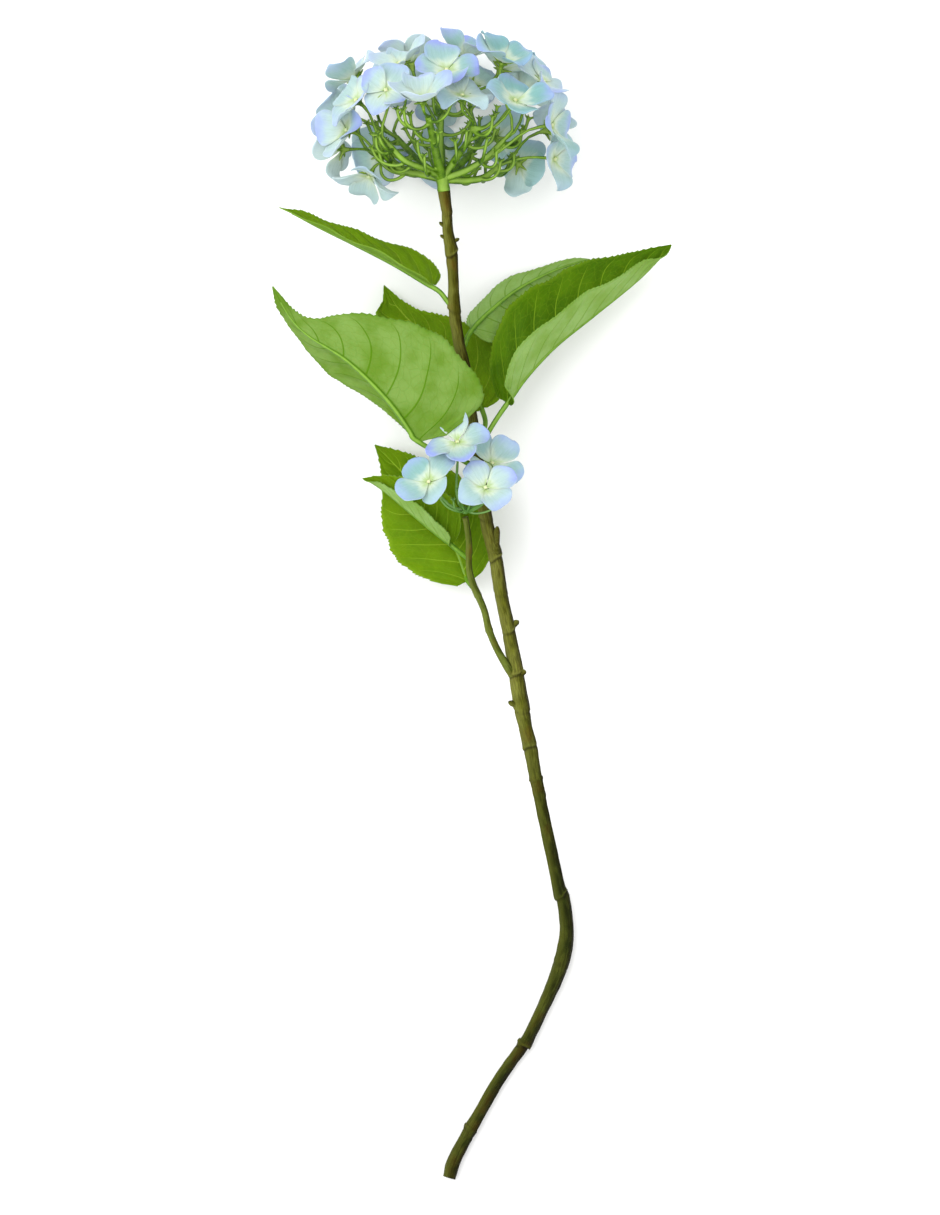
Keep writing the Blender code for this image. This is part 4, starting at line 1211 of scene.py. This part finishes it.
def make_bark_finish(name, top, middle, bottom, light, dark, girth, length):
    """Bark: browner near the flower head, greener towards the cut end, with streaks and pores; one side
    carries painted shade and the other a painted highlight, and the rings a painted highlight on the lip
    and painted shade in the crease.
    """
    made, w, shader = finish(name, Roughness=0.55, Specular_IOR_Level=0.05)
    grain = w.shared(bark_grain, chart=w.chart("chart"), girth=girth, length=length)
    height_up = w.parts(w.spot())[1]
    skin = w.blend(w.fade(height_up, -0.20, -0.07), chart_colour(*bottom), chart_colour(*middle))
    skin = w.blend(w.fade(height_up, 0.02, 0.13), skin, chart_colour(*top))
    skin = w.blend(w.sum("MULTIPLY", grain["Blotches"], 0.50), skin, chart_colour(*light))
    skin = w.blend(w.sum("MULTIPLY", grain["Streaks"], 0.62), skin, chart_colour(*dark))
    rust = w.fade(w.cloud(w.spot(), 48.0, 3.0, 0.6), 0.50, 0.66, 0.0, 0.45)
    skin = w.blend(rust, skin, RUST)
    # Painted light: one side of the branch is darkened and the other lightened, as if lit from one side.
    painted_side_light = w.sum("COSINE", w.sum("MULTIPLY_ADD", w.parts(w.chart("chart"))[0], 2 * math.pi, -1.9))
    skin = w.blend(w.fade(painted_side_light, -0.30, 0.92, 0.0, 0.88), skin, chart_colour(*dark))
    skin = w.blend(w.fade(painted_side_light, -0.20, -0.95, 0.0, 0.45), skin, chart_colour(*light))
    # Painted highlight on the rings' lips and painted shade in their creases.
    lip, crease, _ = w.parts(w.chart("tone"))
    skin = w.blend(w.sum("MULTIPLY", lip, 0.50), skin, chart_colour(*light))
    skin = w.blend(w.sum("MULTIPLY", crease, 0.80), skin, chart_colour(*dark))
    skin = w.blend(w.fade(height_up, -0.03, -0.14, 0.0, 1.0), skin, LOW_SHADE, "MULTIPLY")
    skin = w.blend(w.fade(grain["Pores"], 0.60, 0.78, 0.0, 0.6), skin, chart_colour(*light))
    skin = w.blend(w.fade(grain["Pores"], 0.40, 0.28, 0.0, 0.7), skin, chart_colour(*dark))
    w.feed(shader.inputs["Base Color"], skin)
    w.feed(shader.inputs["Roughness"], w.fade(grain["Streaks"], 0.0, 1.0, 0.48, 0.70))
    height = w.sum("MULTIPLY_ADD", grain["Streaks"], -0.6, w.sum("MULTIPLY", grain["Pores"], 0.8))
    w.feed(shader.inputs["Normal"], w.bump(height, 0.0007, 0.7))
    return made


def make_petal_finish(name, body, heart, cream, violet, teal, strength):
    """Thin dyed petal: yellow-green heart, cream, pale sky blue, and a violet or teal rim."""
    made, w, shader = finish(
        name,
        Roughness=0.62,
        Specular_IOR_Level=0.30,
        Subsurface_Weight=0.35,
        Sheen_Weight=0.12,
        Sheen_Roughness=0.5,
    )
    shader.inputs["Subsurface Radius"].default_value = (1.0, 1.0, 1.0)
    shader.inputs["Subsurface Scale"].default_value = 0.0025
    tone = w.chart("tone")
    tint = w.shared(petal_tint, chart=w.chart("chart"), tone=tone)
    violet_share, teal_share, _ = w.parts(tone)
    wash = w.sum("MULTIPLY", w.fade(tint["Heart"], 0.75, 0.15), w.sum("MULTIPLY", teal_share, 0.85))
    skin = w.blend(wash, chart_colour(*body), chart_colour(*teal))
    edge = w.sum("MULTIPLY", tint["Rim"], w.sum("MULTIPLY_ADD", violet_share, strength, 0.15), clamp=True)
    skin = w.blend(edge, skin, chart_colour(*violet))
    skin = w.blend(w.fade(tint["Heart"], 0.0, 0.75, 0.0, 0.9), skin, chart_colour(*cream))
    skin = w.blend(w.fade(tint["Heart"], 0.55, 1.05, 0.0, 0.95), skin, chart_colour(*heart))
    vein_share = w.sum("MULTIPLY", tint["Veins"], 0.16)
    skin = w.blend(vein_share, skin, chart_colour(*heart), "MULTIPLY")
    w.feed(shader.inputs["Base Color"], skin)
    cloth = w.cloud(w.spot(), 2600.0, 2.0)
    height = w.sum("MULTIPLY_ADD", tint["Veins"], -0.5, w.sum("MULTIPLY", cloth, 0.35))
    w.feed(shader.inputs["Normal"], w.bump(height, 0.0003, 0.5))
    return made


def make_bead_finish():
    """The pale bead in the middle of a floret."""
    made, w, shader = finish("floret_bead_cream", Roughness=0.5, Subsurface_Weight=0.2)
    shader.inputs["Subsurface Scale"].default_value = 0.001
    spots = w.shared(mottle, place=w.spot(), size=500.0)
    skin = w.blend(spots["Blotches"], chart_colour(226, 232, 190), chart_colour(194, 212, 130))
    w.feed(shader.inputs["Base Color"], skin)
    w.feed(shader.inputs["Normal"], w.bump(spots["Grain"], 0.0003, 0.4))
    return made


leaf_veins = make_leaf_veins()
mottle = make_mottle()
bark_grain = make_bark_grain()
petal_tint = make_petal_tint()

bark = make_bark_finish(
    "stem_bark", (84, 84, 12), (102, 106, 26), (60, 70, 12), (140, 144, 66), (28, 20, 0), 4.3, 720.0
)
shoot_bark = make_bark_finish(
    "shoot_bark", (86, 102, 26), (86, 102, 26), (84, 98, 22), (126, 138, 62), (40, 42, 2), 2.2, 130.0
)
stalk_green = make_green_finish("stalk_green", (98, 142, 14), (40, 82, 0), (160, 196, 84), 0.36)
stalk_pale = make_green_finish("cluster_stalk_green", (88, 142, 46), (44, 96, 8), (150, 190, 116), 0.40)
calyx_green = make_green_finish("calyx_green", (112, 150, 26), (62, 104, 0), (170, 198, 96), 0.42)
leaf_rib = make_green_finish("leaf_rib_green", (102, 150, 26), (66, 114, 6), (146, 184, 76), 0.45)
# Leaf skins: body, deep and vein colours, clearness of the net, roughness, relief of the veins
LEAF_TOPS = {
    "dark": ((72, 111, 0), (46, 86, 0), (124, 158, 34), 0.16, 0.50, -0.8),
    "olive": ((104, 142, 8), (78, 116, 0), (144, 174, 48), 0.14, 0.52, -0.8),
    "bright": ((94, 130, 0), (74, 112, 0), (142, 176, 44), 0.12, 0.48, -0.8),
}
LEAF_UNDERS = {
    "light": ((125, 157, 76), (94, 131, 26), (80, 126, 2), 0.13, 0.60, 0.9),
    # pale: a lighter copy of the light underside, painted light for undersides that lie in shade or turn
    # away from the lamps
    "pale": ((146, 180, 102), (122, 158, 64), (98, 142, 20), 0.13, 0.60, 0.9),
    "green": ((112, 152, 46), (90, 130, 20), (136, 172, 60), 0.07, 0.58, 0.9),
}
leaf_tops = {look: make_leaf_finish("leaf_top_" + look, *skin) for look, skin in LEAF_TOPS.items()}
leaf_unders = {look: make_leaf_finish("leaf_under_" + look, *skin) for look, skin in LEAF_UNDERS.items()}
# The teal in both petal finishes is partly the dye and partly painted shade: it is darkened to stand for
# shadowed, translucent petals.
petal_face = make_petal_finish(
    "petal_face", (182, 206, 206), (176, 204, 124), (204, 220, 196), (144, 158, 224), (106, 164, 162), 0.9
)
petal_back = make_petal_finish(
    "petal_back", (186, 208, 206), (176, 204, 134), (204, 221, 200), (156, 168, 222), (118, 172, 168), 0.8
)
bead_cream = make_bead_finish()

# ---------------------------------------------------------------- the flower put together

# Half width of each side of a blade along its length, as shares of its widest: right, then left
EGG = [
    (0, 0.12), (0.05, 0.50), (0.16, 0.85), (0.32, 1.0), (0.50, 0.94), (0.68, 0.68),
    (0.82, 0.40), (0.92, 0.18), (1, 0.01),
]
SLIM = [
    (0, 0.04), (0.10, 0.22), (0.25, 0.60), (0.42, 0.95), (0.58, 1.0), (0.70, 0.74),
    (0.82, 0.36), (0.92, 0.16), (1, 0.01),
]
BROAD = [
    (0, 0.20), (0.10, 0.60), (0.24, 0.92), (0.41, 1.0), (0.60, 0.86), (0.77, 0.62),
    (0.90, 0.30), (1, 0.01),
]
TURNED = [
    (0, 0.10), (0.07, 0.62), (0.18, 1.0), (0.40, 1.0), (0.60, 0.84), (0.78, 0.52),
    (0.91, 0.22), (1, 0.01),
]
DRAWN_OUT = [
    (0, 0.20), (0.05, 0.66), (0.14, 0.98), (0.28, 0.94), (0.44, 0.70), (0.60, 0.54),
    (0.75, 0.42), (0.88, 0.26), (1, 0.01),
]
NOTCHED = [
    (0, 0.12), (0.05, 0.50), (0.16, 0.85), (0.32, 1.0), (0.50, 0.96), (0.66, 0.86),
    (0.79, 0.78), (0.87, 0.66), (0.92, 0.24), (1, 0.01),
]
POINTED = [
    (0, 0.12), (0.05, 0.50), (0.16, 0.85), (0.32, 1.0), (0.48, 0.90), (0.62, 0.62),
    (0.74, 0.34), (0.85, 0.19), (0.94, 0.09), (1, 0.01),
]
ROUNDED = [
    (0, 0.20), (0.10, 0.62), (0.24, 0.94), (0.41, 1.0), (0.58, 0.92), (0.72, 0.62),
    (0.84, 0.30), (0.93, 0.12), (1, 0.01),
]
SHOULDERED = [
    (0, 0.35), (0.08, 0.92), (0.20, 1.0), (0.32, 0.95), (0.46, 0.76), (0.62, 0.44),
    (0.74, 0.20), (0.86, 0.09), (1, 0.01),
]

# The "pale" underside is painted light: a lighter copy for leaves whose undersides lie in shade or turn
# away from the lamps.
LEAF_LOOKS = {
    "leaf_left_large": dict(
        veins=7.6, wave=1.2, waves=2.3, top="dark", under="light", tint=0.2,
        lobe=(0.0, 0.30), foot=2.3, outline=(SLIM, SHOULDERED),
    ),
    "leaf_right_large": dict(
        veins=8.6, wave=1.3, waves=3.1, top="dark", under="pale", tint=0.4,
        lobe=(0.0, 0.10), foot=2.3, outline=(TURNED, BROAD),
    ),
    "leaf_right_behind": dict(
        veins=7.3, wave=0.8, waves=2.6, top="dark", under="pale", tint=0.6,
        lobe=(0.1, 0.2), foot=2.2, outline=(EGG, EGG),
    ),
    "leaf_upper_left": dict(
        veins=8.1, wave=1.0, waves=2.9, top="olive", under="green", tint=0.3,
        lobe=(0.45, 0.25), foot=2.2, outline=(DRAWN_OUT, DRAWN_OUT),
    ),
    "leaf_behind": dict(
        veins=8.2, wave=1.4, waves=2.7, top="olive", under="green", tint=0.5,
        lobe=(0.40, 0.40), foot=2.2, outline=(POINTED, NOTCHED),
    ),
    "leaf_lower": dict(
        veins=8.4, wave=1.1, waves=2.2, top="bright", under="light", tint=0.7,
        lobe=(0.12, 0.12), foot=1.75, outline=(EGG, ROUNDED),
    ),
    "leaf_lower_folded": dict(
        veins=7.4, wave=0.7, waves=2.4, top="bright", under="pale", tint=0.8,
        lobe=(0.2, 0.1), foot=1.75, outline=(EGG, EGG),
    ),
}

# How violet and how teal each floret is dyed
FLORET_MOODS = {
    "floret_front": (0.55, 0.05),
    "floret_front_right": (0.15, 0.10),
    "floret_left_front": (0.85, 0.10),
    "floret_right_front": (0.45, 0.75),
    "floret_top_front": (0.95, 0.50),
    "floret_top_left": (0.25, 0.20),
    "floret_top_right": (0.95, 0.50),
    "floret_right_top": (0.35, 0.95),
    "floret_right_upper": (0.55, 0.10),
    "floret_left_upper": (0.50, 0.10),
    "floret_left": (0.50, 0.15),
    # These two carry no violet or teal: their pale green-white is partly their own colour and partly
    # painted light, lifting petals that lie in shade.
    "floret_left_hanging": (0.0, 0.0),
    "floret_left_low": (0.1, 0.0),
    "floret_right_hanging": (0.20, 0.60),
    "floret_right_low": (0.45, 0.20),
    "cluster_floret_top": (0.90, 0.20),
    "cluster_floret_right_top": (0.60, 0.45),
    "cluster_floret_left": (0.50, 0.60),
    "cluster_floret_right": (0.55, 0.40),
}
OTHER_MOOD = (0.45, 0.30)

make_stem()
make_neck()
make_shoot()
for leaf_name, leaf in LEAVES.items():
    make_leaf(leaf_name, leaf | LEAF_LOOKS[leaf_name])
for stalk_number, (stalk_name, trunk) in enumerate(TRUNKS.items()):
    make_head_stalk(stalk_name, trunk, stalk_number)
make_cluster_stalks()
floret_names = sorted(name for name in frame["nodes"] if "floret" in name)
for floret_number, floret_name in enumerate(floret_names):
    make_floret(floret_name, floret_number, FLORET_MOODS.get(floret_name, OTHER_MOOD))

# ---------------------------------------------------------------- floor, light and camera


def make_floor():
    """A plain pale table top."""
    mesh = bpy.data.meshes.new("floor")
    reach = 6.0  # metres each way
    corners = [(-reach, -reach, 0), (reach, -reach, 0), (reach, reach, 0), (-reach, reach, 0)]
    mesh.from_pydata(corners, [], [(0, 1, 2, 3)])
    floor = bpy.data.objects.new("floor", mesh)
    bpy.context.scene.collection.objects.link(floor)
    made, w, shader = finish("floor_pale", Roughness=0.9, Specular_IOR_Level=0.1)
    dust = w.cloud(w.spot(), 3.0, 2.0)
    shade = w.blend(w.fade(dust, 0.3, 0.7), (0.92, 0.92, 0.92, 1.0), (0.94, 0.94, 0.93, 1.0))
    w.feed(shader.inputs["Base Color"], shade)
    mesh.materials.append(made)


def make_lights():
    """An even white sky, with a soft key light and a weaker fill light."""
    world = bpy.data.worlds.new("studio")
    bpy.context.scene.world = world
    world.use_nodes = True
    sky = world.node_tree.nodes["Background"]
    sky.inputs["Color"].default_value = (1.0, 1.0, 1.0, 1.0)
    sky.inputs["Strength"].default_value = 0.86 * BRIGHT
    for name, place, size, power in (
        ("key_light", (-1.1, 0.8, 2.1), 2.4, 46.0 * BRIGHT),
        ("fill_light", (1.2, -0.8, 2.0), 2.4, 14.0 * BRIGHT),
    ):
        lamp = bpy.data.lights.new(name, "AREA")
        lamp.size = size
        lamp.energy = power
        light = bpy.data.objects.new(name, lamp)
        light.location = place
        light.rotation_euler = (-Vector(place)).to_track_quat("-Z", "Y").to_euler()
        bpy.context.scene.collection.objects.link(light)


def make_camera():
    """Straight above the flower, far enough for a calm long-lens view."""
    sensor = 24.0
    above = 12.0  # metres over the middle of the flower
    shown = 0.790  # metres from the top to the bottom of the picture
    lens = bpy.data.cameras.new("camera")
    lens.sensor_fit = "VERTICAL"
    lens.sensor_height = sensor
    lens.sensor_width = sensor
    lens.lens = sensor * above / shown
    camera = bpy.data.objects.new("camera", lens)
    camera.location = (DRAWING_SHIFT[0] * MM, DRAWING_SHIFT[1] * MM, above + 0.04)
    bpy.context.scene.collection.objects.link(camera)
    bpy.context.scene.camera = camera


make_floor()
make_lights()
make_camera()
bpy.context.scene.view_settings.view_transform = "Standard"
